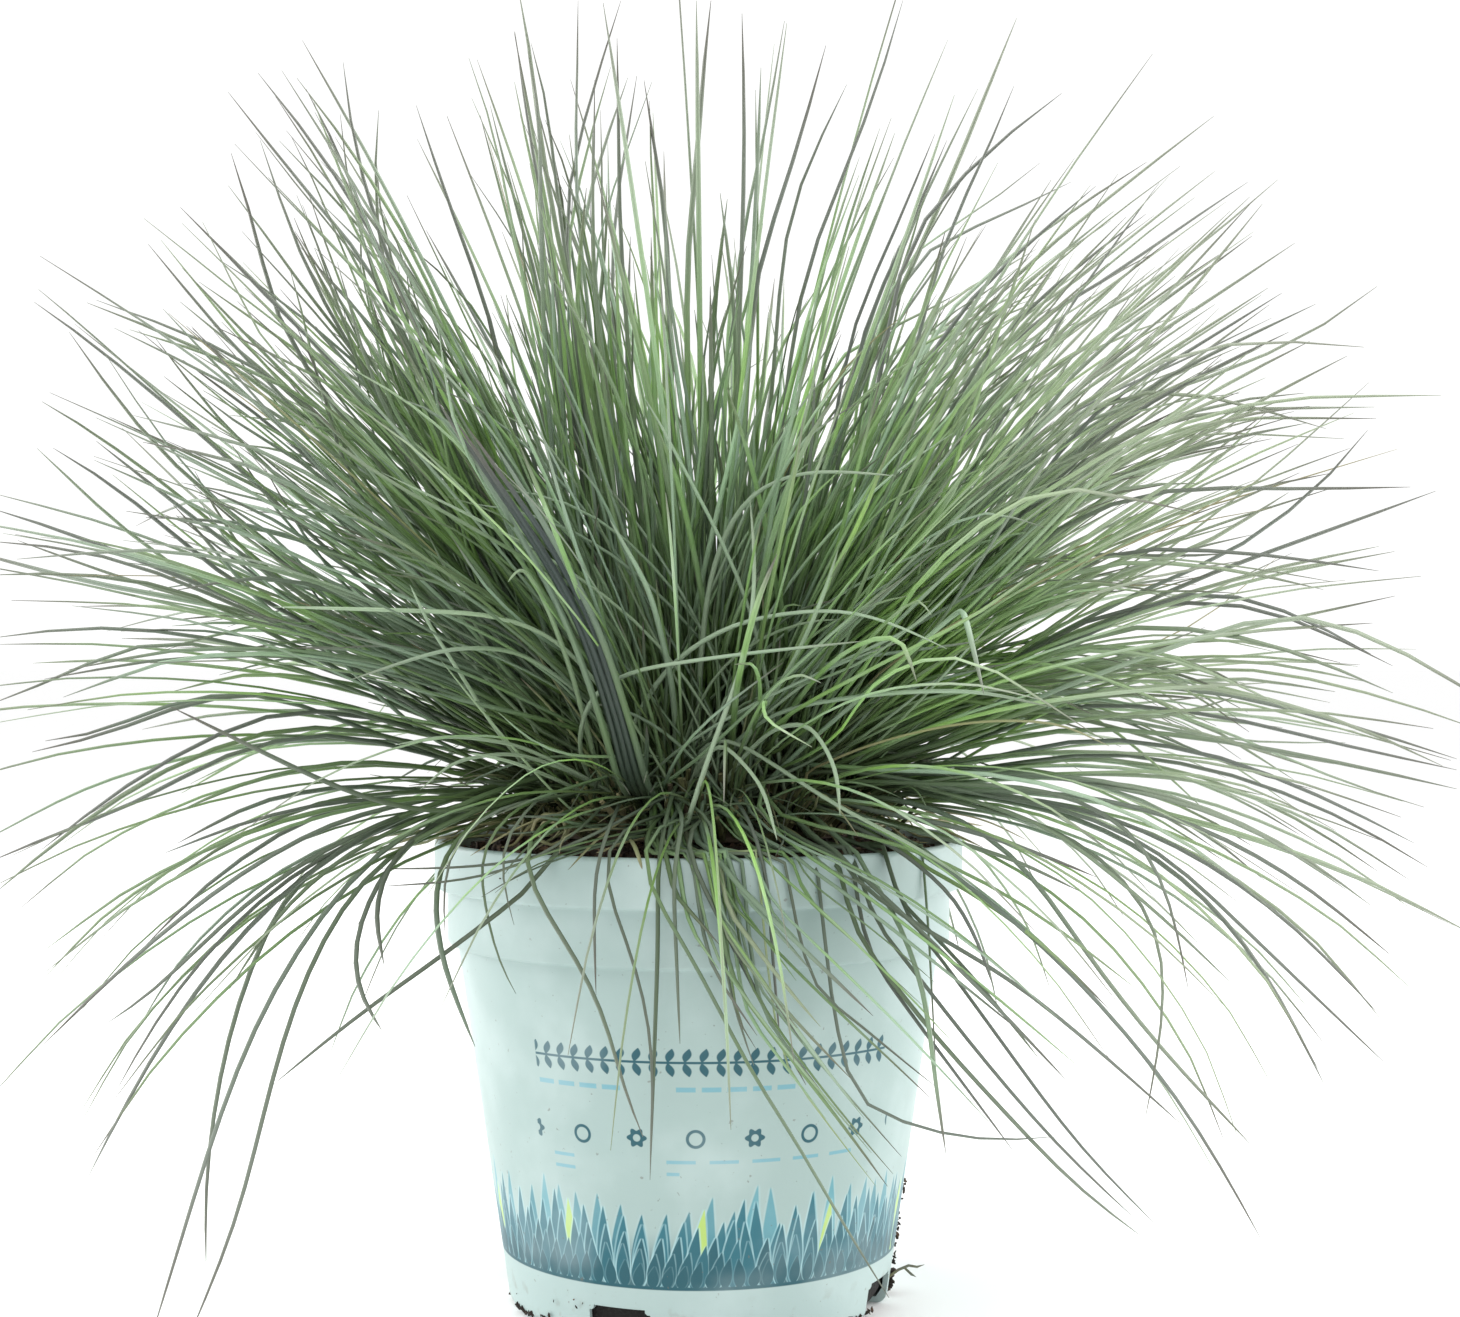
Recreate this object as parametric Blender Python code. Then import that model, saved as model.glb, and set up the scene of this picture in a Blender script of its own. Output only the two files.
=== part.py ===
"""Blue fescue clump in a round nursery pot.

The parts are the pot, the potting mix that fills it, the low dense crown of the clump and the
tillers that rise from the crown. A tiller is one closed solid: a short sheath that divides into
narrow three-sided leaves. Lengths are in metres, +Z is up, and the underside of the pot is at z = 0.
"""
import math
import random

import bmesh
import bpy
from mathutils import Quaternion, Vector, kdtree

GAP = 0.0003

# Pot: heights are above the ground, radii are to the outer face
POT_HEIGHT = 0.113
RIM_RADIUS = 0.065
RIM_DEPTH = 0.0116
NECK_RADIUS = 0.0618
NECK_DEPTH = 0.0135
SHOULDER_RADIUS = 0.0592
FOOT_RADIUS = 0.0468
WALL = 0.0011
FLOOR = 0.0014
FOOT_ROUNDING = 0.0026
EDGE = 0.0008
TURNED_SIDES = 48

# Drain slots through the corner of the foot
SLOT_COUNT = 4
SLOT_WIDTH = 0.0153
SLOT_HEIGHT = 0.0085
SLOT_DEPTH = 0.012
FIRST_SLOT_DEG = -22.0

# Potting mix, mounded towards the middle
SOIL_EDGE_HEIGHT = 0.108
SOIL_MIDDLE_HEIGHT = 0.119
SOIL_RINGS = (0.014, 0.027, 0.040, 0.050)

# Crown of the clump
CROWN_RADIUS = 0.042
CROWN_EDGE_HEIGHT = 0.1147
CROWN_MIDDLE_HEIGHT = 0.128

# Tillers, set out from the middle of the crown like the seeds of a sunflower
TILLER_COUNT = 40
ROOT_SPREAD = 0.037
GOLDEN_ANGLE = math.pi * (3.0 - math.sqrt(5.0))
LOWEST_TIP_DEG = -35.0
BEND_MIDDLE_DEG = 8.0
BEND_EDGE_DEG = 64.0
BEND_GROWTH = 1.4
BEND_POWER = 1.1
BEND_VARIETY = (0.8, 1.25)
LEAF_BEND_VARIETY = (0.9, 1.1)
LEAF_LENGTH = 0.192
EDGE_SHORTENING = 0.26
SHORTEST_SHARE = 0.78
LEAVES_PER_TILLER = 5
LEAF_CONE_DEG = (7.5, 12.5)
HEADING_JITTER_DEG = 5.0
SHEATH_RADIUS = 0.002
SHEATH_FOOT = 0.004
SHEATH_LENGTH = 0.007
LEAF_INSET = 0.8
LEAF_STATIONS = ((0.06, 0.75), (0.3, 0.72), (0.55, 0.6), (0.8, 0.4))
PATH_STEPS = 24
PROBE_SPACING = 0.002
PROBE_CLEARANCE = 0.0021
RIM_CLEARANCE = 0.0015
TRIES = 60
SEED = 11

# Colour, roughness and metallic value of each material
POT_LOOK = ((0.57, 0.69, 0.67, 1.0), 0.42, 0.0)
SOIL_LOOK = ((0.07, 0.05, 0.035, 1.0), 0.95, 0.0)
CROWN_LOOK = ((0.20, 0.19, 0.08, 1.0), 0.85, 0.0)
LEAF_LOOK = ((0.17, 0.24, 0.14, 1.0), 0.6, 0.0)


def clear_scene():
    """Remove every object that the start-up scene holds."""
    for item in list(bpy.data.objects):
        bpy.data.objects.remove(item, do_unlink=True)


def make_material(name, look):
    """A Principled material from a colour, a roughness and a metallic value."""
    colour, roughness, metallic = look
    material = bpy.data.materials.new(name)
    material.use_nodes = True
    shader = material.node_tree.nodes["Principled BSDF"]
    shader.inputs["Base Color"].default_value = colour
    shader.inputs["Roughness"].default_value = roughness
    shader.inputs["Metallic"].default_value = metallic
    return material


def add_object(name, bm, material):
    """Turn a bmesh into a named object with smooth faces and sharp creases."""
    bmesh.ops.recalc_face_normals(bm, faces=bm.faces)
    mesh = bpy.data.meshes.new(name)
    bm.to_mesh(mesh)
    bm.free()
    mesh.shade_smooth()
    mesh.set_sharp_from_angle(angle=math.radians(40.0))
    mesh.materials.append(material)
    item = bpy.data.objects.new(name, mesh)
    bpy.context.scene.collection.objects.link(item)
    return item


def turn(outline):
    """Turn an outline of (radius, height) that starts and ends on the axis into a closed bmesh."""
    bm = bmesh.new()
    rings = []
    for radius, height in outline:
        if radius == 0.0:
            rings.append([bm.verts.new((0.0, 0.0, height))])
            continue
        ring = []
        for side in range(TURNED_SIDES):
            angle = 2.0 * math.pi * side / TURNED_SIDES
            ring.append(bm.verts.new((radius * math.cos(angle), radius * math.sin(angle), height)))
        rings.append(ring)
    for lower, upper in zip(rings, rings[1:]):
        for side in range(TURNED_SIDES):
            after = (side + 1) % TURNED_SIDES
            if len(lower) == 1:
                bm.faces.new((lower[0], upper[after], upper[side]))
            elif len(upper) == 1:
                bm.faces.new((lower[side], lower[after], upper[0]))
            else:
                bm.faces.new((lower[side], lower[after], upper[after], upper[side]))
    return bm


def arc(radius, height, size, first_deg, last_deg, steps):
    """Points of a rounded edge round the centre (radius, height) in the outline's plane."""
    points = []
    for step in range(steps + 1):
        angle = math.radians(first_deg + (last_deg - first_deg) * step / steps)
        points.append((radius + size * math.cos(angle), height + size * math.sin(angle)))
    return points


def pot_outline():
    """Outer face from the underside up to the rim, then the inner face down to the floor."""
    neck_base = POT_HEIGHT - RIM_DEPTH - NECK_DEPTH
    rim_base = POT_HEIGHT - RIM_DEPTH
    outline = [(0.0, 0.0)]
    outline += arc(FOOT_RADIUS - FOOT_ROUNDING, FOOT_ROUNDING, FOOT_ROUNDING, -90.0, 0.0, 3)
    outline.append((SHOULDER_RADIUS, neck_base - 1.5 * EDGE))
    outline.append((NECK_RADIUS - EDGE, neck_base))
    outline.append((NECK_RADIUS, neck_base + EDGE))
    outline.append((NECK_RADIUS, rim_base - EDGE))
    outline.append((RIM_RADIUS - EDGE, rim_base))
    outline.append((RIM_RADIUS, rim_base + EDGE))
    outline += arc(RIM_RADIUS - EDGE, POT_HEIGHT - EDGE, EDGE, 0.0, 90.0, 2)
    outline.append((RIM_RADIUS - 2.0 * WALL, POT_HEIGHT - EDGE))
    outline.append((RIM_RADIUS - 2.0 * WALL, rim_base + WALL + EDGE))
    outline.append((NECK_RADIUS - WALL, rim_base + EDGE))
    outline.append((NECK_RADIUS - WALL, neck_base + WALL + EDGE))
    outline.append((SHOULDER_RADIUS - WALL, neck_base))
    outline.append((FOOT_RADIUS - WALL, FOOT_ROUNDING + WALL))
    outline.append((FOOT_RADIUS - FOOT_ROUNDING, FLOOR))
    outline.append((0.0, FLOOR))
    return outline


def build_pot():
    """Thin-walled pot with its stepped rim, cut by the drain slots."""
    pot = add_object("pot", turn(pot_outline()), make_material("pot", POT_LOOK))
    for number in range(SLOT_COUNT):
        angle = math.radians(FIRST_SLOT_DEG + 360.0 * number / SLOT_COUNT - 90.0)
        bm = bmesh.new()
        bmesh.ops.create_cube(bm, size=1.0)
        bmesh.ops.scale(bm, vec=(SLOT_DEPTH, SLOT_WIDTH, 2.0 * SLOT_HEIGHT), verts=bm.verts)
        cutter = add_object(f"slot_cutter_{number + 1}", bm, pot.data.materials[0])
        cutter.location = (FOOT_RADIUS * math.cos(angle), FOOT_RADIUS * math.sin(angle), 0.0)
        cutter.rotation_euler = (0.0, 0.0, angle)
        cutter.hide_render = True
        cutter.display_type = "WIRE"
        cut = pot.modifiers.new(f"slot_{number + 1}", "BOOLEAN")
        cut.operation = "DIFFERENCE"
        cut.solver = "EXACT"
        cut.object = cutter


def soil_height(radius):
    """Height of the mounded potting mix at a distance from the axis."""
    fall = (radius / (NECK_RADIUS - WALL)) ** 2
    return SOIL_MIDDLE_HEIGHT - (SOIL_MIDDLE_HEIGHT - SOIL_EDGE_HEIGHT) * fall


def crown_height(radius):
    """Height of the crown's domed top at a distance from the axis."""
    fall = (radius / CROWN_RADIUS) ** 2
    return CROWN_MIDDLE_HEIGHT - (CROWN_MIDDLE_HEIGHT - CROWN_EDGE_HEIGHT) * fall


def build_soil():
    """Potting mix: it fills the pot from the floor to a mound a little above the rim."""
    neck_base = POT_HEIGHT - RIM_DEPTH - NECK_DEPTH
    edge_radius = RIM_RADIUS - 2.0 * WALL - 2.0 * GAP
    outline = [(0.0, FLOOR + GAP)]
    outline.append((FOOT_RADIUS - FOOT_ROUNDING - 2.0 * GAP, FLOOR + GAP))
    outline.append((FOOT_RADIUS - WALL - 2.0 * GAP, FOOT_ROUNDING + WALL + GAP))
    outline.append((SHOULDER_RADIUS - WALL - 2.0 * GAP, neck_base + GAP))
    outline.append((NECK_RADIUS - WALL - 2.0 * GAP, neck_base + WALL + EDGE + GAP))
    outline.append((NECK_RADIUS - WALL - 2.0 * GAP, POT_HEIGHT - RIM_DEPTH + EDGE + GAP))
    outline.append((edge_radius, POT_HEIGHT - RIM_DEPTH + WALL + EDGE + 2.0 * GAP))
    outline.append((edge_radius, SOIL_EDGE_HEIGHT - EDGE))
    for radius in reversed(SOIL_RINGS):
        outline.append((radius, soil_height(radius)))
    outline.append((0.0, SOIL_MIDDLE_HEIGHT))
    add_object("soil", turn(outline), make_material("soil", SOIL_LOOK))


def build_crown():
    """Crown: a low dome of packed leaf bases that sits on the potting mix."""
    inner_rings = SOIL_RINGS[:-1]
    outline = [(0.0, SOIL_MIDDLE_HEIGHT + GAP)]
    outline += [(radius, soil_height(radius) + GAP) for radius in inner_rings]
    outline.append((CROWN_RADIUS, CROWN_EDGE_HEIGHT))
    outline += [(radius, crown_height(radius)) for radius in reversed(inner_rings)]
    outline.append((0.0, CROWN_MIDDLE_HEIGHT))
    add_object("crown", turn(outline), make_material("crown", CROWN_LOOK))


def bent(direction, side, angle):
    """A direction turned down by an angle, about a level axis at its side."""
    return Quaternion(side, -angle) @ direction


class Leaf:
    """One leaf: where it starts, where it heads and how it bends down along its length."""

    def __init__(self, start, direction, bend, length):
        self.start = start
        self.direction = direction
        self.side = direction.cross(Vector((0.0, 0.0, 1.0))).normalized()
        self.bend = bend
        self.length = length

    def heading(self, share):
        """Direction of the leaf at a share of its length."""
        return bent(self.direction, self.side, self.bend * share ** BEND_POWER)

    def points(self):
        """Evenly spaced points of the midline, from the start to the tip."""
        step = self.length / PATH_STEPS
        places = [self.start.copy()]
        for number in range(PATH_STEPS):
            places.append(places[-1] + self.heading((number + 0.5) / PATH_STEPS) * step)
        return places

    def place(self, share):
        """Point of the midline at a share of the length."""
        places = self.points()
        position = share * PATH_STEPS
        index = min(int(position), PATH_STEPS - 1)
        return places[index].lerp(places[index + 1], position - index)


class Tiller:
    """A sheath on the crown and the leaves into which it divides."""

    def __init__(self, number, attempt):
        rng = random.Random(SEED * 100000 + number * 100 + attempt)
        share = (number + 0.5) / TILLER_COUNT
        azimuth = number * GOLDEN_ANGLE
        radius = ROOT_SPREAD * math.sqrt(share)
        outward = Vector((math.cos(azimuth), math.sin(azimuth), 0.0))
        slope = 2.0 * radius * (CROWN_MIDDLE_HEIGHT - CROWN_EDGE_HEIGHT) / CROWN_RADIUS ** 2
        self.normal = (outward * slope + Vector((0.0, 0.0, 1.0))).normalized()
        self.root = outward * radius
        self.root.z = crown_height(radius)
        self.root += self.normal * 2.0 * GAP

        lowest = math.sin(math.radians(LOWEST_TIP_DEG))
        tip_elevation = math.asin(1.0 - share * (1.0 - lowest))
        growth = share ** BEND_GROWTH
        bend = math.radians(BEND_MIDDLE_DEG + (BEND_EDGE_DEG - BEND_MIDDLE_DEG) * growth)
        bend *= rng.uniform(*BEND_VARIETY)
        jitter = math.radians(HEADING_JITTER_DEG)
        elevation = tip_elevation + bend / (BEND_POWER + 1.0) + rng.uniform(-jitter, jitter)
        azimuth += rng.uniform(-jitter, jitter) / max(math.cos(elevation), 0.3)
        level = Vector((math.cos(azimuth), math.sin(azimuth), 0.0))
        self.axis = level * math.cos(elevation) + Vector((0.0, 0.0, math.sin(elevation)))
        self.side = self.normal.cross(self.axis).normalized()

        self.turn = rng.uniform(0.0, 2.0 * math.pi)
        self.knee = self.root + (self.normal + self.axis).normalized() * SHEATH_FOOT
        self.mouth = self.knee + self.axis * SHEATH_LENGTH
        self.leaves = []
        reach = LEAF_LENGTH * (1.0 - EDGE_SHORTENING * share)
        for index in range(LEAVES_PER_TILLER):
            corners = self.sector(index)
            start = sum(corners, Vector()) / 3.0
            spread = math.tan(math.radians(rng.uniform(*LEAF_CONE_DEG)))
            direction = (self.axis + (start - self.mouth).normalized() * spread).normalized()
            length = reach * rng.uniform(SHORTEST_SHARE, 1.0)
            leaf_bend = bend * rng.uniform(*LEAF_BEND_VARIETY)
            self.leaves.append(Leaf(start, direction, leaf_bend, length))

    def ring(self, centre, direction):
        """Corners of the sheath's section at a centre, across a direction."""
        across = direction.cross(self.side)
        corners = []
        for index in range(LEAVES_PER_TILLER):
            angle = self.turn + 2.0 * math.pi * index / LEAVES_PER_TILLER
            offset = self.side * math.cos(angle) + across * math.sin(angle)
            corners.append(centre + offset * SHEATH_RADIUS)
        return corners

    def sector(self, index):
        """The slice of the sheath's mouth that one leaf grows from."""
        rim = self.ring(self.mouth, self.axis)
        return [self.mouth, rim[index], rim[(index + 1) % LEAVES_PER_TILLER]]

    def probes(self):
        """Points along the sheath and the leaves, close enough together to find crossings."""
        places = [self.root, self.knee, self.mouth]
        for leaf in self.leaves:
            path = leaf.points()
            for start, end in zip(path, path[1:]):
                count = max(1, round((end - start).length / PROBE_SPACING))
                places += [start.lerp(end, step / count) for step in range(count)]
            places.append(path[-1])
        return places

    def build(self, name, material):
        """One closed mesh: the sheath, with each slice of its mouth drawn out into a leaf."""
        bm = bmesh.new()
        rings = []
        middle = (self.normal + self.axis).normalized()
        stations = ((self.root, self.normal), (self.knee, middle), (self.mouth, self.axis))
        for centre, direction in stations:
            rings.append([bm.verts.new(corner) for corner in self.ring(centre, direction)])
        bm.faces.new(rings[0])
        for lower, upper in zip(rings, rings[1:]):
            join_rings(bm, lower, upper)
        centre = bm.verts.new(self.mouth)
        for index, leaf in enumerate(self.leaves):
            after = (index + 1) % LEAVES_PER_TILLER
            slice_corners = [centre, rings[-1][index], rings[-1][after]]
            offsets = [(corner - leaf.start) * LEAF_INSET for corner in self.sector(index)]
            ring = slice_corners
            for share, thickness in LEAF_STATIONS:
                swing = self.axis.rotation_difference(leaf.heading(share))
                place = leaf.place(share)
                section = [bm.verts.new(place + swing @ offset * thickness) for offset in offsets]
                join_rings(bm, ring, section)
                ring = section
            tip = bm.verts.new(leaf.place(1.0))
            for corner, other in ((0, 1), (1, 2), (2, 0)):
                bm.faces.new((ring[corner], ring[other], tip))
        add_object(name, bm, material)


def join_rings(bm, lower, upper):
    """Skin two rings that have the same number of corners."""
    for index in range(len(lower)):
        after = (index + 1) % len(lower)
        bm.faces.new((lower[index], lower[after], upper[after], upper[index]))


def clears_pot(place):
    """Whether a point is above the pot or beside it."""
    beside = math.hypot(place.x, place.y) > RIM_RADIUS + RIM_CLEARANCE
    return beside or place.z > POT_HEIGHT + RIM_CLEARANCE


def is_clear(tiller, grown):
    """Whether a tiller keeps its distance from the pot and from the tillers grown before it."""
    places = tiller.probes()
    if not all(clears_pot(place) for place in places):
        return False
    return grown is None or all(grown.find(place)[2] > PROBE_CLEARANCE for place in places)


def grow_tillers():
    """Grow the tillers from the middle outward, each where it crosses no other."""
    tillers = []
    places = []
    grown = None
    for number in range(TILLER_COUNT):
        for attempt in range(TRIES):
            tiller = Tiller(number, attempt)
            if is_clear(tiller, grown):
                break
        else:
            raise RuntimeError(f"tiller {number + 1} has no clear place")
        tillers.append(tiller)
        places += tiller.probes()
        grown = kdtree.KDTree(len(places))
        for index, place in enumerate(places):
            grown.insert(place, index)
        grown.balance()
    return tillers


def main():
    """Model the whole potted clump."""
    clear_scene()
    build_pot()
    build_soil()
    build_crown()
    leaf_material = make_material("leaf", LEAF_LOOK)
    for number, tiller in enumerate(grow_tillers()):
        tiller.build(f"tiller_{number + 1:02d}", leaf_material)


main()
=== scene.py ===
"""Blue fescue clump in a pale aqua nursery pot, dressed on its CAD frame.

Lengths are in metres, +Z is up, and the camera looks along +Y. Every leaf follows the solid leaves
of the tiller that it belongs to, so the fine clump fills the same space as the solid one.
"""
import math
import random

import bmesh
import bpy
from bpy.props import FloatProperty, FloatVectorProperty, IntProperty, PointerProperty
from mathutils import Matrix, Quaternion, Vector, noise


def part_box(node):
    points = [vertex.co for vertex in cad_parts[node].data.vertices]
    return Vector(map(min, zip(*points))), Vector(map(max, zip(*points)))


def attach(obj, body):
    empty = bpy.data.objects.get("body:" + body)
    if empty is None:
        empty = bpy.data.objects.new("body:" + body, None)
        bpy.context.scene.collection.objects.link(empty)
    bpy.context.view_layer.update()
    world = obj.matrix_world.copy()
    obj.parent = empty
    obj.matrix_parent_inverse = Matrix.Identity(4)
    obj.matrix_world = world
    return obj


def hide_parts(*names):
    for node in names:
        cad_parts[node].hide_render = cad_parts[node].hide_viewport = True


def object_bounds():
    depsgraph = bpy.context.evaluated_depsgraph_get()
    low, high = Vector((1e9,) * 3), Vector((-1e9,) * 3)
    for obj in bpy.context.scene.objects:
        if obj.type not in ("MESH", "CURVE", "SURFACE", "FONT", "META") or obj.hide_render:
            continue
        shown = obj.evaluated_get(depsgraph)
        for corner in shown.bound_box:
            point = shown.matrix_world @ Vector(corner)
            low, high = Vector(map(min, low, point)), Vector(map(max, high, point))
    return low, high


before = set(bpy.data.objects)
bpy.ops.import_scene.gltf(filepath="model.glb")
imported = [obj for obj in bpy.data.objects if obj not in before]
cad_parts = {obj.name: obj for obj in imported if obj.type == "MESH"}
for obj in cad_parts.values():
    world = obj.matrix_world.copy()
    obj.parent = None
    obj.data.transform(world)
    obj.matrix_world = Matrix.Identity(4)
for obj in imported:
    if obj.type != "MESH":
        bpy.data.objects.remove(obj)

bl_info = {
    "name": "Potted Blue Fescue",
    "version": (1, 0, 0),
    "blender": (4, 5, 0),
    "location": "3D View > Sidebar > Fescue",
    "description": "Pot, potting mix, crown and fine leaves of a blue fescue clump",
    "category": "Add Mesh",
}

CAD_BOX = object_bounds()
POT_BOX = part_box("pot")
CROWN_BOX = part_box("crown")
TILLERS = sorted(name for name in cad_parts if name.startswith("tiller_"))

UP = Vector((0.0, 0.0, 1.0))
MILLIMETRE = 0.001

# Pot outline: steps below the rim, as on the solid
RIM_DEPTH = 0.0116
NECK_RADIUS = 0.0618
NECK_DEPTH = 0.0135
SHOULDER_RADIUS = 0.0592
FOOT_RADIUS = 0.0468
FOOT_ROUNDING = 0.0026
POT_WALL = 0.0011
POT_FLOOR = 0.0014
EDGE = 0.0008
POT_SIDES = 192
SHARP_ANGLE_DEG = 35.0
SLOT_COUNT = 4
SLOT_WIDTH = 0.0153
SLOT_HEIGHT = 0.0085
SLOT_DEPTH = 0.012
SLOT_ROUNDING = 0.0012
FIRST_SLOT_DEG = -22.0

# Print: heights in millimetres up the pot, edges in degrees round it from the front
BAND_FOOT = 13.8
BAND_EASE = (13.6, 13.9)
FRONT_SOFTNESS = 0.004
GARLAND_HEIGHT = 66.6
GARLAND_EDGES = (-41.0, 51.0)
GARLAND_LEAVES = 92
GARLAND_LEAF_LENGTH = 3.3
ROSETTE_HEIGHT = 49.0
ROSETTE_EDGES = (-43.0, 56.0)
ROSETTE_PLACES = 25
# Radius of the pot at the rosettes, in millimetres
ROSETTE_RADIUS = 53.0
# Broken rules: height, half thickness, edges, number of dashes round the pot and share of the gaps
RULES = (
    (60.4, 0.55, (-41.0, 26.0), 60, 0.22),
    (43.6, 0.4, (-38.0, 52.0), 34, 0.3),
    (40.8, 0.4, (-38.0, -4.0), 34, 0.3),
)
FAR_INK = (0.13, 0.34, 0.39, 1.0)
RULE_INK = (0.16, 0.36, 0.42, 1.0)
SCUFF = (0.80, 0.90, 0.90, 1.0)
DUST = (0.20, 0.17, 0.12, 1.0)
SPECK = (0.14, 0.12, 0.09, 1.0)
# Radius of a cone just inside the pot's outer face: how it widens with the height, and its start
OUTER_CONE = (0.14, 0.0462)

# Potting mix and crown
SOIL_EDGE_HEIGHT = 0.108
SOIL_MIDDLE_HEIGHT = 0.119
SOIL_SIDES = 144
SOIL_STEPS = 56
# Height of the bumps and how close together they come
SOIL_BUMPS = (0.0011, 260.0)
FIT_GAP = 0.0003
CROWN_EDGE_HEIGHT = 0.1147
CROWN_SIDES = 96
CROWN_STEPS = 24
CROWN_BUMPS = (0.0009, 300.0)
CHIP_BROWN = (0.23, 0.145, 0.085, 1.0)
DAMP_BROWN = (0.02, 0.014, 0.01, 1.0)
# Near black painted on the mix low in the pot as shade
SLOT_SHADE_BLACK = (0.006, 0.005, 0.004, 1.0)
BASE_SHADE = (0.05, 0.05, 0.02, 1.0)
DEAD_BROWN = (0.07, 0.05, 0.03, 1.0)

# Leaves
LEAF_STEPS = 13
RIM_LEAF_STEPS = 22
CROSSING_STEPS = 30
SETTLING_STEPS = 44
PROFILE_SIDES = 4
# How deep the keel below and the groove above a leaf's section are, as shares of its half width
KEEL = 0.95
GROOVE = 0.65
THINNEST = 0.00006
OVERREACH = 0.45
LEAF_TURN_DEG = 13.0
LEAF_WAVER = 0.034
# Narrowest and widest leaf as shares of the full width, of all and of those seen one by one
LEAF_SPREAD = (0.45, 0.95)
SEEN_SPREAD = (0.8, 1.0)
WILD_SHARE = 0.28
WILD_TURN_DEG = 24.0
# Leaves that are shorter than the solid ones: how many, and their and the others' sizes
SHORT_SHARE = 0.3
SHORT_SIZES = (0.38, 0.68)
LEAST_SIZE = 0.58
DEAD_SHARE = 0.012
# Share of the full number of leaves for the slant of a tuft in degrees
FULLNESS = ((-60.0, 0.1), (-5.0, 0.12), (8.0, 0.22), (22.0, 0.9), (35.0, 2.0), (60.0, 2.1),
            (74.0, 1.2), (90.0, 1.1))
RIM_LIFT = 0.0011
SOIL_LIFT = 0.0008
GROUND_GAP = 0.004
BOX_MARGIN = 0.001
# How deep the leaves' roots lie under the crown's surface
SUNK = 0.002
SHALLOW = 0.001
# The middle of the clump, round which the leaves are painted dark as shade, and the colours that
# the leaves blend to
CLUMP_HEART = (0.0, 0.0, 0.12)
FRESH_AND_BACKLIT_GREEN = (0.21, 0.34, 0.07, 1.0)
HIGHLIGHT_GREEN = (0.28, 0.35, 0.27, 1.0)
LUSH_GREEN = (0.16, 0.31, 0.05, 1.0)
BUNDLE_BLUE = (0.032, 0.046, 0.062, 1.0)
BACKLIT_GREY = (0.27, 0.285, 0.24, 1.0)
FADED_GREY = (0.165, 0.172, 0.162, 1.0)
RIGHT_LIGHT_GREEN = (0.37, 0.42, 0.31, 1.0)
SHADE_GREEN = (0.03, 0.055, 0.016, 1.0)
HEART_SHADE_GREEN = (0.025, 0.045, 0.012, 1.0)
LIGHT_GREEN = (0.33, 0.43, 0.29, 1.0)

# The photograph's middle and its focal length, in pixels
PHOTO_MIDDLE = (730.0, 658.5)
PHOTO_FOCAL = 2300.0

# Leaves read off the photograph. Each is a row of its pixels from the tip inward, and the table's
# depths say how far behind the pot's axis its inner end and its tip lie, in millimetres.
UPPER_DEPTHS = (-14.0, -30.0)
UPPER_LEAVES = (
    ((34, 302), (64, 322), (121, 367), (179, 415)),
    ((69, 332), (110, 392), (156, 450), (230, 515)),
    ((96, 300), (179, 330), (236, 354), (320, 410)),
    ((148, 244), (179, 281), (223, 338), (261, 373)),
    ((180, 207), (223, 249), (265, 297), (319, 348), (351, 376)),
    ((182, 268), (250, 340), (330, 420)),
    ((228, 92), (265, 140), (319, 207), (360, 255), (383, 281)),
    ((258, 73), (303, 128), (344, 188), (390, 262)),
    ((231, 153), (249, 207), (265, 274), (277, 332)),
    ((260, 140), (287, 223), (306, 271), (350, 350)),
    ((306, 89), (332, 137), (362, 210)),
    ((343, 62), (346, 112), (360, 169), (373, 223)),
    ((416, 105), (440, 179), (462, 242), (488, 306)),
    ((426, 230), (472, 312), (520, 400)),
    ((183, 360), (239, 402), (287, 437)),
    ((480, 115), (505, 210), (530, 300)),
    ((490, 105), (508, 180), (540, 290)),
    ((515, 32), (528, 130), (550, 250)),
    ((531, 43), (549, 105), (552, 159)),
    ((578, 0), (577, 90), (573, 179), (590, 330)),
    ((621, 0), (590, 96), (582, 128), (560, 210)),
    ((617, 38), (619, 159), (619, 223)),
    ((644, 80), (657, 166), (667, 217)),
    ((711, 0), (703, 64), (699, 143), (686, 255)),
    ((742, 13), (745, 128), (742, 255)),
    ((761, 67), (758, 159), (753, 255)),
    ((826, 45), (801, 137), (775, 217), (753, 277)),
    ((847, 84), (810, 159), (785, 223)),
    ((903, 0), (880, 83), (842, 179), (801, 277)),
    ((880, 128), (852, 210), (829, 287)),
    ((893, 172), (862, 250), (826, 340)),
    ((935, 134), (900, 220), (850, 330)),
    ((947, 140), (905, 240), (862, 330)),
    ((1014, 86), (986, 157), (946, 232)),
    ((1062, 93), (1007, 132), (954, 186), (907, 229)),
    ((1214, 116), (1132, 179), (1036, 257), (971, 314)),
    ((1248, 182), (1168, 236), (1079, 300), (1007, 329)),
    ((1071, 182), (1007, 214), (936, 243), (900, 261)),
    ((1096, 186), (1020, 250), (940, 330)),
    ((1114, 211), (1040, 270), (960, 350)),
    ((1146, 214), (1060, 280), (975, 360)),
    ((1252, 236), (1180, 290), (1080, 360)),
    ((1295, 243), (1221, 293), (1150, 339), (1043, 411)),
    ((1282, 293), (1200, 345), (1090, 410)),
    ((1316, 304), (1230, 345), (1120, 400)),
    ((1289, 332), (1210, 370), (1110, 425)),
)
SIDE_DEPTHS = (-22.0, -42.0)
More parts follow.
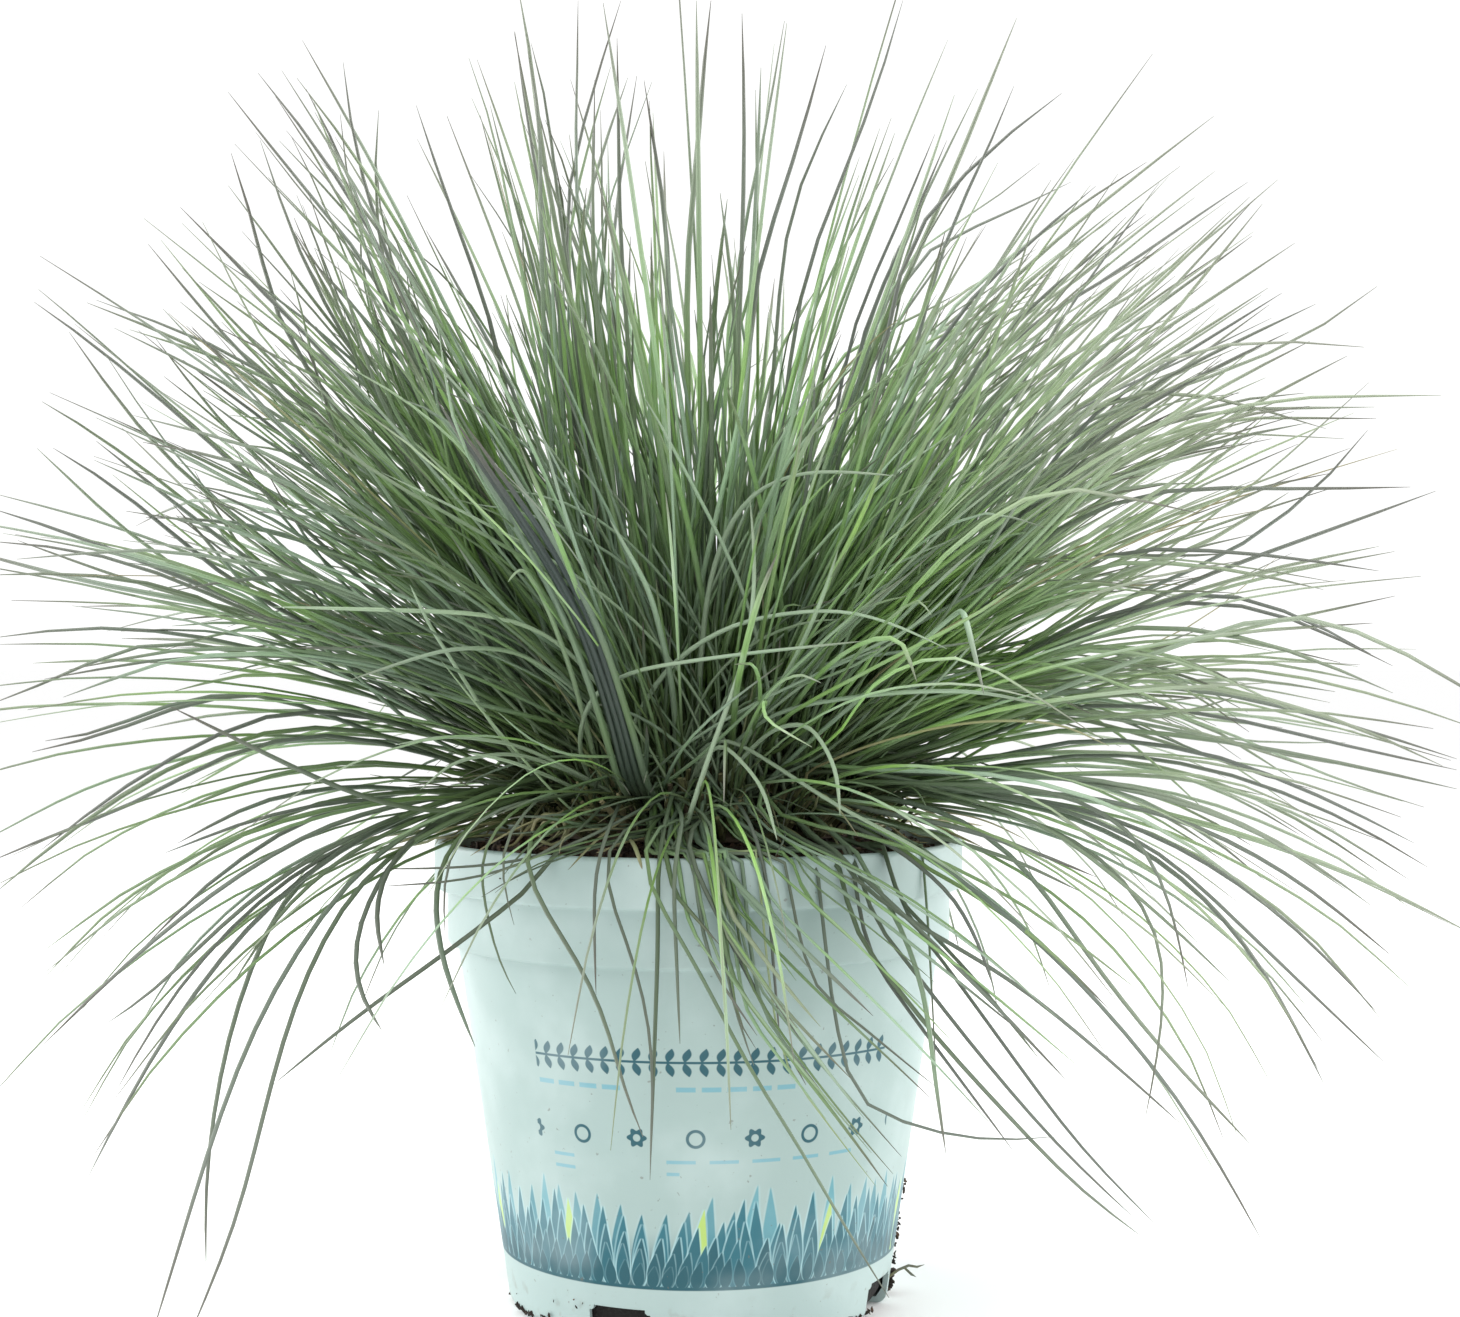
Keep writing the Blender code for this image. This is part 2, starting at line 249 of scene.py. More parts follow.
SIDE_LEAVES = (
    ((1375, 407), (1300, 409), (1221, 407), (1100, 440)),
    ((1305, 393), (1220, 400), (1120, 440)),
    ((1307, 423), (1220, 440), (1100, 480)),
    ((1368, 430), (1329, 482), (1286, 514), (1236, 554), (1150, 586)),
    ((1436, 491), (1364, 518), (1275, 550), (1180, 585)),
    ((1379, 571), (1275, 555), (1168, 548), (1096, 550)),
    ((1411, 487), (1290, 490), (1168, 486), (1060, 520)),
    ((1393, 666), (1311, 625), (1257, 605), (1204, 600), (1100, 610)),
    ((1393, 693), (1293, 650), (1221, 632), (1120, 622)),
    ((1371, 654), (1290, 610), (1190, 585)),
    ((1457, 759), (1364, 729), (1257, 700), (1186, 686), (1050, 690)),
    ((1457, 770), (1340, 745), (1220, 715), (1080, 700)),
    ((1457, 789), (1350, 765), (1220, 740), (1080, 725)),
    ((1429, 868), (1350, 820), (1240, 775), (1110, 750)),
    ((1414, 843), (1330, 800), (1220, 755), (1100, 735)),
    ((-10, 508), (60, 530), (150, 565), (260, 610)),
    ((-12, 541), (48, 545), (112, 556), (175, 579), (290, 630)),
    ((-10, 575), (80, 572), (190, 590)),
    ((53, 448), (96, 473), (159, 521), (223, 579)),
    ((96, 441), (170, 500), (260, 570)),
    ((-8, 638), (90, 625), (200, 635), (320, 665)),
    ((-14, 706), (48, 684), (96, 658), (159, 636), (260, 655)),
    ((45, 741), (80, 740), (143, 716), (175, 700), (260, 690)),
    ((32, 752), (110, 735), (190, 700), (280, 690)),
    ((41, 850), (128, 783), (207, 738), (287, 706), (390, 720)),
    ((-16, 864), (60, 832), (132, 807), (230, 750), (330, 730)),
    ((-10, 897), (70, 830), (170, 765), (280, 725), (380, 730)),
    ((143, 948), (210, 880), (300, 820), (400, 790)),
    ((148, 897), (230, 840), (320, 800), (430, 790)),
    ((165, 853), (250, 820), (340, 800), (450, 800)),
    ((178, 843), (260, 800), (350, 785)),
    ((175, 813), (250, 780), (350, 760), (450, 770)),
)
LOWER_DEPTHS = (-46.0, -88.0)
LOWER_LEAVES = (
    ((41, 1047), (138, 952), (231, 879), (297, 840), (336, 820), (420, 800)),
    ((87, 1179), (132, 1090), (185, 1004), (247, 925), (313, 866), (400, 815)),
    ((115, 1093), (160, 1010), (230, 925), (310, 860), (400, 820)),
    ((106, 1024), (148, 1001), (181, 965), (231, 915), (310, 855), (400, 815)),
    ((152, 1335), (185, 1229), (211, 1140), (251, 1031), (297, 948), (343, 886), (389, 836),
     (470, 800)),
    ((206, 1268), (204, 1179), (211, 1130), (228, 1031), (264, 932), (290, 882), (370, 825),
     (450, 800)),
    ((190, 1335), (237, 1225), (264, 1113), (287, 1024), (317, 948), (363, 873), (409, 840),
     (490, 805)),
    ((229, 990), (280, 910), (350, 850), (440, 810)),
    ((171, 707), (271, 757), (340, 790), (410, 812), (490, 812)),
    ((274, 1084), (363, 1011), (445, 955), (500, 912), (560, 865), (630, 835), (690, 818)),
    ((382, 1031), (356, 991), (353, 942), (373, 889), (406, 843), (470, 805)),
    ((384, 965), (373, 909), (392, 855), (450, 812)),
    ((475, 1047), (442, 965), (432, 899), (446, 842), (500, 806)),
    ((1373, 907), (1290, 845), (1190, 800), (1080, 775), (960, 775)),
    ((1393, 957), (1300, 880), (1200, 825), (1090, 795), (970, 790)),
    ((1377, 1012), (1290, 920), (1190, 850), (1080, 805), (950, 790)),
    ((1388, 1066), (1311, 993), (1221, 907), (1168, 854), (1080, 810), (950, 790)),
    ((1325, 1086), (1275, 986), (1221, 911), (1150, 850), (1060, 810), (940, 790)),
    ((1348, 891), (1260, 830), (1160, 795), (1040, 775)),
    ((1232, 984), (1179, 932), (1096, 861), (1043, 821), (950, 795)),
    ((1189, 993), (1175, 918), (1154, 854), (1110, 810), (1030, 785), (930, 785)),
    ((1145, 1120), (1157, 1064), (1166, 996), (1163, 943), (1155, 918), (1110, 860), (1040, 820),
     (940, 800)),
    ((1261, 1239), (1204, 1136), (1150, 1061), (1061, 961), (971, 886), (936, 861), (860, 820)),
    ((1252, 1146), (1161, 1050), (1096, 968), (1025, 864), (960, 815), (880, 795)),
    ((1141, 1236), (1079, 1193), (1007, 1114), (946, 1050), (900, 993), (830, 900), (780, 840)),
    ((1154, 1223), (1080, 1150), (1000, 1040), (920, 930), (850, 850)),
    ((1132, 1216), (1060, 1150), (975, 1050), (890, 940), (815, 850)),
    ((1055, 1137), (1007, 1146), (960, 1141), (900, 1126), (846, 1101), (796, 1059), (740, 990),
     (690, 900), (665, 850)),
    ((1014, 1152), (960, 1080), (900, 1000), (835, 905), (790, 845)),
    ((946, 1154), (935, 1080), (925, 986), (890, 900), (840, 840)),
    ((1182, 1125), (1114, 1064), (1043, 1004), (989, 964), (900, 918), (830, 860), (790, 835)),
    ((1068, 1082), (1000, 1010), (920, 930), (850, 865), (810, 835)),
    ((993, 986), (979, 943), (954, 896), (900, 850), (850, 825)),
    ((1079, 891), (1020, 862), (950, 840), (870, 820)),
    ((1096, 877), (1030, 850), (950, 825), (860, 810)),
    ((1110, 1010), (1040, 940), (960, 885), (880, 845)),
    ((1040, 1060), (985, 990), (915, 915), (850, 855)),
)
FRONT_DEPTHS = (-70.0, -64.0)
FRONT_LEAVES = (
    ((379, 869), (440, 869), (505, 865), (560, 852), (600, 832)),
    ((386, 886), (430, 884), (480, 878), (530, 862), (575, 835)),
    ((445, 935), (441, 880), (452, 835), (500, 806)),
    ((516, 994), (507, 984), (489, 930), (477, 851), (510, 812)),
    ((514, 925), (500, 880), (497, 838), (530, 808)),
    ((643, 1137), (629, 1109), (614, 1051), (600, 1001), (562, 935), (525, 884), (520, 838)),
    ((596, 995), (594, 930), (594, 866), (610, 825)),
    ((650, 1180), (654, 1051), (650, 1023), (629, 941), (596, 876), (606, 832)),
    ((650, 1173), (655, 1030), (659, 916), (655, 855), (665, 825)),
    ((680, 1044), (675, 923), (672, 860), (685, 822)),
    ((754, 1066), (729, 994), (720, 930), (716, 859), (718, 822)),
    ((780, 1041), (772, 950), (768, 887), (764, 850), (750, 820)),
    ((889, 1298), (829, 1201), (789, 1126), (757, 1087), (721, 1012), (679, 934), (629, 862),
     (640, 828)),
    ((936, 1087), (864, 1030), (829, 994), (779, 973), (721, 930), (664, 876), (650, 840)),
    ((806, 1085), (770, 1020), (735, 950), (700, 880), (680, 838)),
)
CROSSING_DEPTHS = (-24.0, -96.0)
CROSSING_LEAVES = (
    ((896, 476), (840, 471), (785, 473), (740, 500), (710, 570), (700, 660), (698, 750)),
    ((274, 607), (380, 610), (497, 614), (560, 640), (612, 700), (650, 770)),
    ((865, 641), (740, 654), (622, 671), (585, 700), (575, 755), (600, 800)),
    ((947, 649), (887, 620), (833, 607), (737, 620), (673, 658), (632, 719), (620, 780)),
    ((977, 887), (917, 847), (837, 807), (777, 767), (723, 733), (695, 750), (688, 800)),
    ((508, 582), (522, 562), (545, 600), (570, 667), (590, 740), (607, 807)),
    ((410, 585), (430, 627), (460, 673), (493, 727), (540, 785)),
    ((470, 753), (512, 762), (557, 780), (610, 806)),
    ((777, 840), (763, 785), (723, 742), (700, 760), (690, 805)),
    ((840, 815), (837, 767), (810, 722), (772, 728), (735, 765), (715, 805)),
    ((1050, 707), (977, 690), (883, 693), (777, 709), (730, 745), (705, 800)),
    ((963, 580), (917, 627), (817, 673), (750, 727), (712, 785)),
    ((838, 550), (822, 600), (795, 660), (745, 740), (720, 800)),
    ((350, 680), (450, 647), (520, 650), (590, 700), (640, 780)),
    ((610, 520), (650, 590), (672, 680), (680, 790)),
    ((420, 790), (455, 760), (515, 752), (580, 775), (625, 808)),
    ((395, 745), (450, 735), (520, 745), (590, 780), (640, 812)),
)
# Further light leaves that cross before the clump: their number, and how far at least and at most
# their tips lie aside of the root, behind the pot's axis and above the ground, in millimetres
STRAY_COUNT = 56
STRAY_TIPS = ((28.0, 88.0), (-96.0, -40.0), (145.0, 228.0))
# The long light leaf that rises before all others from the front of the crown
CLOSE_DEPTHS = (-57.0, -80.0)
CLOSE_LEAF = ((750, 500), (756, 559), (753, 623), (740, 676), (721, 722), (700, 782), (683, 837))
# A light leaf that is snapped over, its tip hanging down
SNAPPED_DEPTHS = (-30.0, -104.0)
SNAPPED_LEAF = ((984, 694), (974, 652), (964, 611), (959, 611), (925, 640), (870, 690), (800, 750),
                (750, 800))
# Places where white shows between the leaves: middle, half width and half height in pixels
GAPS = (
    (1110, 622, 78, 24), (1120, 520, 52, 15), (1035, 742, 60, 18), (965, 262, 26, 22),
    (1020, 832, 100, 44), (850, 905, 120, 58), (370, 850, 125, 66), (860, 250, 34, 74),
    (300, 700, 60, 32), (310, 765, 60, 22), (690, 190, 26, 110), (800, 215, 34, 60),
    (465, 240, 48, 66),
)
# The bundle of dark blue leaves in front, and how much nearer the viewer each next one's tip is
BLUE_DEPTHS = (-50.0, -86.0)
BLUE_STEP = -2.0
BLUE_LEAVES = (
    ((436, 398), (528, 548), (570, 628), (606, 735), (622, 800)),
    ((446, 414), (536, 545), (580, 622), (614, 730), (628, 800)),
    ((455, 420), (545, 553), (586, 625), (622, 733), (634, 800)),
    ((468, 428), (553, 548), (596, 630), (628, 738), (642, 800)),
    ((492, 440), (566, 560), (604, 640), (636, 742), (650, 802)),
)

# The bunch that hangs over the rim to the viewer's right: its two outer leaves in pixels, how far
# behind the pot's axis its leaves begin and end in millimetres, and how they stray in pixels
BUNCH = (((905, 1200), (830, 1110), (765, 1030), (705, 940), (650, 865), (655, 830)),
         ((1120, 1045), (1030, 960), (950, 900), (870, 858), (805, 838), (765, 815)))
BUNCH_DEPTH = -52.0
BUNCH_TIP_DEPTHS = (-100.0, -76.0)
BUNCH_DRIFT = 34.0
BUNCH_COUNT = 60
# The fringe of short leaves before the crown: number, and the space of the roots, the shoulders and
# the tips in millimetres; those of the shoulders and tips lie to the left or the right
FRINGE_COUNT = 64
FRINGE_ROOTS = ((-26.0, 20.0), (-33.0, -22.0), 118.0)
FRINGE_SHOULDERS = ((16.0, 46.0), (-78.0, -60.0), (116.0, 124.0))
FRINGE_TIPS = ((42.0, 82.0), (-84.0, -50.0), (102.0, 122.0))

# Leaves beside each long seen one by the place of its tip: left, right, top and bottom in pixels,
# and their number
COMPANIONS = (
    (60, 150, 200, 420, 5),
    (150, 440, 0, 420, 9),
    (440, 620, 0, 320, 12),
    (620, 900, 0, 420, 3),
    (1230, 1460, 200, 460, 8),
    (900, 1460, 0, 460, 10),
    (1150, 1460, 640, 900, 9),
    (0, 200, 420, 620, 6),
    (0, 400, 620, 1000, 0),
)
FEW_COMPANIONS = 3
# Number beside a leaf that hangs to the left and to the right
LOWER_COMPANIONS = (0, 1)
COMPANION_TURN_DEG = 4.5
COMPANION_SIZES = (0.68, 1.02)
# How far the tips of companions stand before or behind the seen leaf's, in metres
COMPANION_DEPTH = 0.032

LOW_LEAF_COUNT = 190
LOW_ROOT_RING = (0.024, 0.041)
HEART_COUNT = 260
HEART_ROOT_RING = (0.012, 0.039)
WITHERED_COUNT = 90
WITHERED_ROOT_RING = (0.012, 0.044)
CURLED_COUNT = 7
# The curled leaf that lies on the mix in front, in millimetres
FRONT_CURL = (-37.0, -50.0, 118.0)

# Dirt that clings to the pot's foot: middle and spread of each patch in degrees round the pot and
# millimetres up it, how many crumbs it holds and their size
DIRT_PATCHES = (
    (88.0, 2.5, 3.5, 2.0, 30, 0.75),
    (89.0, 1.8, 12.0, 7.0, 30, 0.5),
    (87.0, 2.0, 26.0, 1.4, 8, 0.5),
    (50.0, 8.0, 1.5, 0.4, 16, 0.7),
    (-62.0, 5.0, 1.5, 0.4, 16, 0.75),
    (-48.0, 4.0, 2.2, 0.8, 7, 0.55),
    (-12.0, 9.0, 1.5, 0.3, 5, 0.6),
    (-30.0, 16.0, 8.0, 2.4, 7, 0.3),
    (150.0, 60.0, 1.8, 0.8, 24, 0.6),
)
LOWEST_CRUMB = 0.0016
# The twig at the foot and its side branch, in millimetres
TWIG = (
    ((46.5, -7, 5.5), (49, -6, 7), (51.5, -6.5, 8.2), (53.5, -7, 8.0), (55.3, -7, 8.6)),
    ((50.5, -6.3, 7.6), (52, -8.5, 6.6), (53, -10, 6.4)),
)
TWIG_WIDTH = 0.0011
TWIG_HALF_WIDTH = 0.0005

FLOOR_HALF = 30.0
PAPER = (0.90, 0.90, 0.90, 1.0)
# Where the lights point
AIM = (0.0, 0.0, 0.16)
FULL_TURN = 2.0 * math.pi
ANY_TURN = ((0.0, 0.0, 0.0), (6.28, 6.28, 6.28))


class PotSettings(bpy.types.PropertyGroup):
    """Sizes and colours of the pot."""
    rim_radius: FloatProperty(name="Rim Radius", description="Outer radius of the rim",
                              default=POT_BOX[1][0], unit="LENGTH")
    height: FloatProperty(name="Height", description="Height of the pot",
                          default=POT_BOX[1][2], unit="LENGTH")
    wall: FloatProperty(name="Wall", description="Thickness of the moulded wall",
                        default=POT_WALL, unit="LENGTH")
    plastic: FloatVectorProperty(name="Plastic", description="Pale aqua of the moulded plastic",
                                 default=(0.38, 0.49, 0.475, 1.0), size=4, subtype="COLOR")
    ground: FloatVectorProperty(name="Printed Ground", description="Pale aqua under the print",
                                default=(0.325, 0.43, 0.412, 1.0), size=4, subtype="COLOR")
    deep_ink: FloatVectorProperty(name="Deep Ink", description="Darkest teal of the print",
                                  default=(0.002, 0.075, 0.10, 1.0), size=4, subtype="COLOR")
    blue_ink: FloatVectorProperty(name="Blue Ink", description="Mid blue of the print",
                                  default=(0.012, 0.128, 0.168, 1.0), size=4, subtype="COLOR")
    # Pale blue of the printed outlines, which also stand in for painted highlight streaks
    pale_ink_and_highlight: FloatVectorProperty(name="Pale Ink", description="Pale blue of the leaf outlines",
                                  default=(0.38, 0.60, 0.63, 1.0), size=4, subtype="COLOR")
    lime_ink: FloatVectorProperty(name="Lime Ink", description="Lime of a few printed leaves",
                                  default=(0.40, 0.56, 0.14, 1.0), size=4, subtype="COLOR")


class SoilSettings(bpy.types.PropertyGroup):
    """How much loose matter lies on the potting mix."""
    crumb_density: FloatProperty(name="Crumb Density", description="Crumbs per square metre",
                                 default=150000.0)
    chip_density: FloatProperty(name="Chip Density", description="Bark chips per square metre",
                                default=30000.0)
    stub_density: FloatProperty(name="Stub Density", description="Cut leaf bases per square metre",
                                default=120000.0)
    peat: FloatVectorProperty(name="Peat", description="Dark brown of the damp mix",
                              default=(0.035, 0.024, 0.017, 1.0), size=4, subtype="COLOR")
    bark: FloatVectorProperty(name="Bark", description="Red brown of the chips and fibres",
                              default=(0.17, 0.095, 0.055, 1.0), size=4, subtype="COLOR")


class LeafSettings(bpy.types.PropertyGroup):
    """Number, width and colours of the leaves."""
    per_tiller: IntProperty(name="Leaves per Tiller", description="Full number in one tuft",
                            default=60, min=5)
    width: FloatProperty(name="Leaf Width", description="Width of a full-grown folded leaf",
                         default=0.0016, unit="LENGTH")
    seed: IntProperty(name="Seed", description="Seed of the tufts", default=7)
    bloom: FloatVectorProperty(name="Bloom", description="Waxy blue grey of the bluest leaves",
                               default=(0.205, 0.30, 0.21, 1.0), size=4, subtype="COLOR")
    green: FloatVectorProperty(name="Green", description="Grey green of most leaves",
                               default=(0.13, 0.235, 0.075, 1.0), size=4, subtype="COLOR")
    olive: FloatVectorProperty(name="Olive", description="Olive of the sheaths",
                               default=(0.12, 0.13, 0.045, 1.0), size=4, subtype="COLOR")
    straw: FloatVectorProperty(name="Straw", description="Straw of the withered leaves",
                               default=(0.29, 0.265, 0.14, 1.0), size=4, subtype="COLOR")
    slate: FloatVectorProperty(name="Slate", description="Dark slate of shaded leaves",
                               default=(0.09, 0.104, 0.106, 1.0), size=4, subtype="COLOR")
    tip: FloatVectorProperty(name="Tip", description="Brown grey of the dried tips",
                             default=(0.115, 0.108, 0.09, 1.0), size=4, subtype="COLOR")


class StageSettings(bpy.types.PropertyGroup):
    """Camera, soft light and surround."""
    distance: FloatProperty(name="Camera Distance", description="From the lens to the pot's axis",
                            default=0.570, unit="LENGTH")
    eye_height: FloatProperty(name="Camera Height", description="Height of the level camera",
                              default=0.157, unit="LENGTH")
    aside: FloatProperty(name="Camera Aside", description="How far the camera stands to the right",
                         default=0.0077, unit="LENGTH")
    focal: FloatProperty(name="Focal Length", description="Lens length for a 36 mm wide frame",
                         default=56.7, unit="CAMERA")
    key_power: FloatProperty(name="Key Light", description="Power of the overhead soft box",
                             default=12.0, unit="POWER")
    side_power: FloatProperty(name="Side Light", description="Power of each side soft box",
                               default=13.0, unit="POWER")
    sky: FloatProperty(name="Surround", description="Strength of the even white surround",
                       default=1.1)


class NodeSheet:
    """Short hand for placing and joining the nodes of one tree."""

    def __init__(self, tree):
        self.tree = tree

    def feed(self, socket, value):
        if isinstance(value, bpy.types.NodeSocket):
            self.tree.links.new(value, socket)
        else:
            socket.default_value = value

    def add(self, kind, inputs=None, **settings):
        node = self.tree.nodes.new(kind)
        for name, value in settings.items():
            setattr(node, name, value)
        for key, value in (inputs or {}).items():
            self.feed(node.inputs[key], value)
        return node

    def math(self, operation, *values):
        return self.add("ShaderNodeMath", dict(enumerate(values)), operation=operation).outputs[0]

    def ease(self, value, low, high):
        """Smooth step from 0 at low to 1 at high; low may be the larger of the two."""
        inputs = dict(enumerate((value, low, high, 0.0, 1.0)))
        return self.add("ShaderNodeMapRange", inputs, interpolation_type="SMOOTHSTEP").outputs[0]

    def mix(self, factor, first, second, blend="MIX"):
        inputs = {0: factor, 6: first, 7: second}
        return self.add("ShaderNodeMix", inputs, data_type="RGBA", blend_type=blend).outputs[2]

    def both(self, *masks):
        """Product of all masks."""
        result = masks[0]
        for mask in masks[1:]:
            result = self.math("MULTIPLY", result, mask)
        return result

    def minus(self, first, second):
        return self.math("SUBTRACT", first, second)

    def vector(self, operation, *values):
        node = self.add("ShaderNodeVectorMath", dict(enumerate(values)), operation=operation)
        return node.outputs["Value" if operation == "DISTANCE" else "Vector"]

    def scaled(self, vector, factor):
        node = self.add("ShaderNodeVectorMath", operation="SCALE")
        self.feed(node.inputs[0], vector)
        self.feed(node.inputs["Scale"], factor)
        return node.outputs[0]

    def combine(self, x, y, z=0.0):
        return self.add("ShaderNodeCombineXYZ", {0: x, 1: y, 2: z}).outputs[0]

    def named(self, name):
        """Attribute that a Geometry Nodes tree reads."""
        return self.add("GeometryNodeInputNamedAttribute", {"Name": name},
                        data_type="FLOAT").outputs[0]

    def parts(self, vector):
        """X, Y and Z of a vector."""
        return tuple(self.add("ShaderNodeSeparateXYZ", {0: vector}).outputs)


class Finish(NodeSheet):
    """A material: a Principled surface and the nodes that vary it."""

    def __init__(self, name):
        self.material = bpy.data.materials.new(name)
        self.material.use_nodes = True
        super().__init__(self.material.node_tree)
        self.surface = self.tree.nodes["Principled BSDF"]

    def place(self):
        return self.add("ShaderNodeTexCoord").outputs["Object"]

    def attribute(self, name):
        return self.add("ShaderNodeAttribute", attribute_name=name).outputs["Fac"]

    def noise(self, scale, detail=3.0, vector=None):
        inputs = {"Vector": vector or self.place(), "Scale": scale, "Detail": detail}
        return self.add("ShaderNodeTexNoise", inputs).outputs["Fac"]

    def hash(self, value):
        return self.add("ShaderNodeTexWhiteNoise", {"W": value}, noise_dimensions="1D").outputs[0]

    def relief(self, height, distance, strength):
        inputs = {"Height": height, "Distance": distance, "Strength": strength}
        self.feed(self.surface.inputs["Normal"], self.add("ShaderNodeBump", inputs).outputs[0])

    def set(self, **values):
        """Feed inputs of the surface by name and hand out the material."""
        for name, value in values.items():
            self.feed(self.surface.inputs[name.replace("_", " ").title()], value)
        return self.material


def add_piece(name, mesh, material=None):
    """Link a mesh as an object at the origin."""
    if material is not None:
        mesh.materials.append(material)
    piece = bpy.data.objects.new(name, mesh)
    bpy.context.scene.collection.objects.link(piece)
    return piece


def bake_modifiers(piece):
    """Turn an object's evaluated shape into its plain mesh and drop its modifiers."""
    graph = bpy.context.evaluated_depsgraph_get()
    evaluated = piece.evaluated_get(graph)
    mesh = bpy.data.meshes.new_from_object(evaluated, preserve_all_data_layers=True,
                                           depsgraph=graph)
    piece.modifiers.clear()
    piece.data = mesh
    mesh.name = piece.name


def face_outward(mesh):
    """Point the faces of a closed mesh outward."""
    bm = bmesh.new()
    bm.from_mesh(mesh)
    bmesh.ops.recalc_face_normals(bm, faces=bm.faces)
    bm.to_mesh(mesh)
    bm.free()


def declare(piece, slot, *nodes):
    """Say what a finished piece rides on, and hide the solid parts that it stands for."""
    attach(piece, "root")
    if nodes:
        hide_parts(*nodes)


def turned(outline, sides):
    """Closed mesh turned round the axis from an outline of (radius, height) that ends on it."""
    bm = bmesh.new()
    rings = []
    for radius, height in outline:
        count = 1 if radius == 0.0 else sides
        angles = [FULL_TURN * side / sides for side in range(count)]
        points = [(radius * math.cos(a), radius * math.sin(a), height) for a in angles]
        rings.append([bm.verts.new(point) for point in points])
    for lower, upper in zip(rings, rings[1:]):
        for side in range(sides):
            after = (side + 1) % sides
            corners = [lower[side % len(lower)], lower[after % len(lower)]]
            corners += [upper[after % len(upper)], upper[side % len(upper)]]
            bm.faces.new(list(dict.fromkeys(corners)))
    bmesh.ops.recalc_face_normals(bm, faces=bm.faces)
    mesh = bpy.data.meshes.new("turned")
    bm.to_mesh(mesh)
    bm.free()
    return mesh


def arc(radius, height, size, first_deg, last_deg, steps):
    """Points of a rounded edge in the outline's plane."""
    points = []
    for step in range(steps + 1):
        angle = math.radians(first_deg + (last_deg - first_deg) * step / steps)
        points.append((radius + size * math.cos(angle), height + size * math.sin(angle)))
    return points


def clamped(value):
    """Value kept between 0 and 1."""
    return min(max(value, 0.0), 1.0)


def level(azimuth):
    """Level direction at an angle round the axis."""
    return Vector((math.cos(azimuth), math.sin(azimuth), 0.0))


def soil_height(radius):
    """Height of the potting mix at a distance from the axis."""
    fall = (radius / (NECK_RADIUS - POT_WALL)) ** 2
    return SOIL_MIDDLE_HEIGHT - (SOIL_MIDDLE_HEIGHT - SOIL_EDGE_HEIGHT) * fall


def crown_height(radius):
    """Height of the crown at a distance from the axis."""
    fall = (radius / CROWN_BOX[1][0]) ** 2
    return CROWN_BOX[1][2] - (CROWN_BOX[1][2] - CROWN_EDGE_HEIGHT) * fall


# Pot

def pot_outline(pot):
    """Outer face from the underside up to the rim, then the inner face down to the floor."""
    rim_base = pot.height - RIM_DEPTH
    neck_base = rim_base - NECK_DEPTH
    wall = pot.wall
    inner = pot.rim_radius - 2.0 * wall
    outline = [(0.0, 0.0), (0.5 * FOOT_RADIUS, 0.0)]
    outline += arc(FOOT_RADIUS - FOOT_ROUNDING, FOOT_ROUNDING, FOOT_ROUNDING, -90.0, 0.0, 6)
    for step in range(1, 8):
        share = step / 8.0
        radius = FOOT_RADIUS + (SHOULDER_RADIUS - FOOT_RADIUS) * share
        outline.append((radius, FOOT_ROUNDING + (neck_base - 1.5 * EDGE - FOOT_ROUNDING) * share))
    outline.append((SHOULDER_RADIUS, neck_base - 1.5 * EDGE))
    outline += arc(SHOULDER_RADIUS + EDGE, neck_base - 1.1 * EDGE, EDGE, 170.0, 95.0, 4)
    outline += arc(NECK_RADIUS - EDGE, neck_base + EDGE, EDGE, -80.0, 0.0, 4)
    outline.append((NECK_RADIUS, rim_base - 1.5 * EDGE))
    outline += arc(NECK_RADIUS + EDGE, rim_base - EDGE, EDGE, 180.0, 95.0, 4)
    outline += arc(pot.rim_radius - EDGE, rim_base + EDGE, EDGE, -85.0, 0.0, 4)
    outline.append((pot.rim_radius, pot.height - 2.0 * EDGE))
    outline += arc(pot.rim_radius - wall, pot.height - wall, wall, 0.0, 180.0, 10)
    outline += [
        (inner, pot.height - 2.0 * wall),
        (inner, rim_base + wall + EDGE),
        (NECK_RADIUS - wall, rim_base + EDGE),
        (NECK_RADIUS - wall, neck_base + wall + EDGE),
        (SHOULDER_RADIUS - wall, neck_base),
        (FOOT_RADIUS - wall, FOOT_ROUNDING + wall),
        (FOOT_RADIUS - FOOT_ROUNDING, POT_FLOOR),
        (0.0, POT_FLOOR),
    ]
    return outline


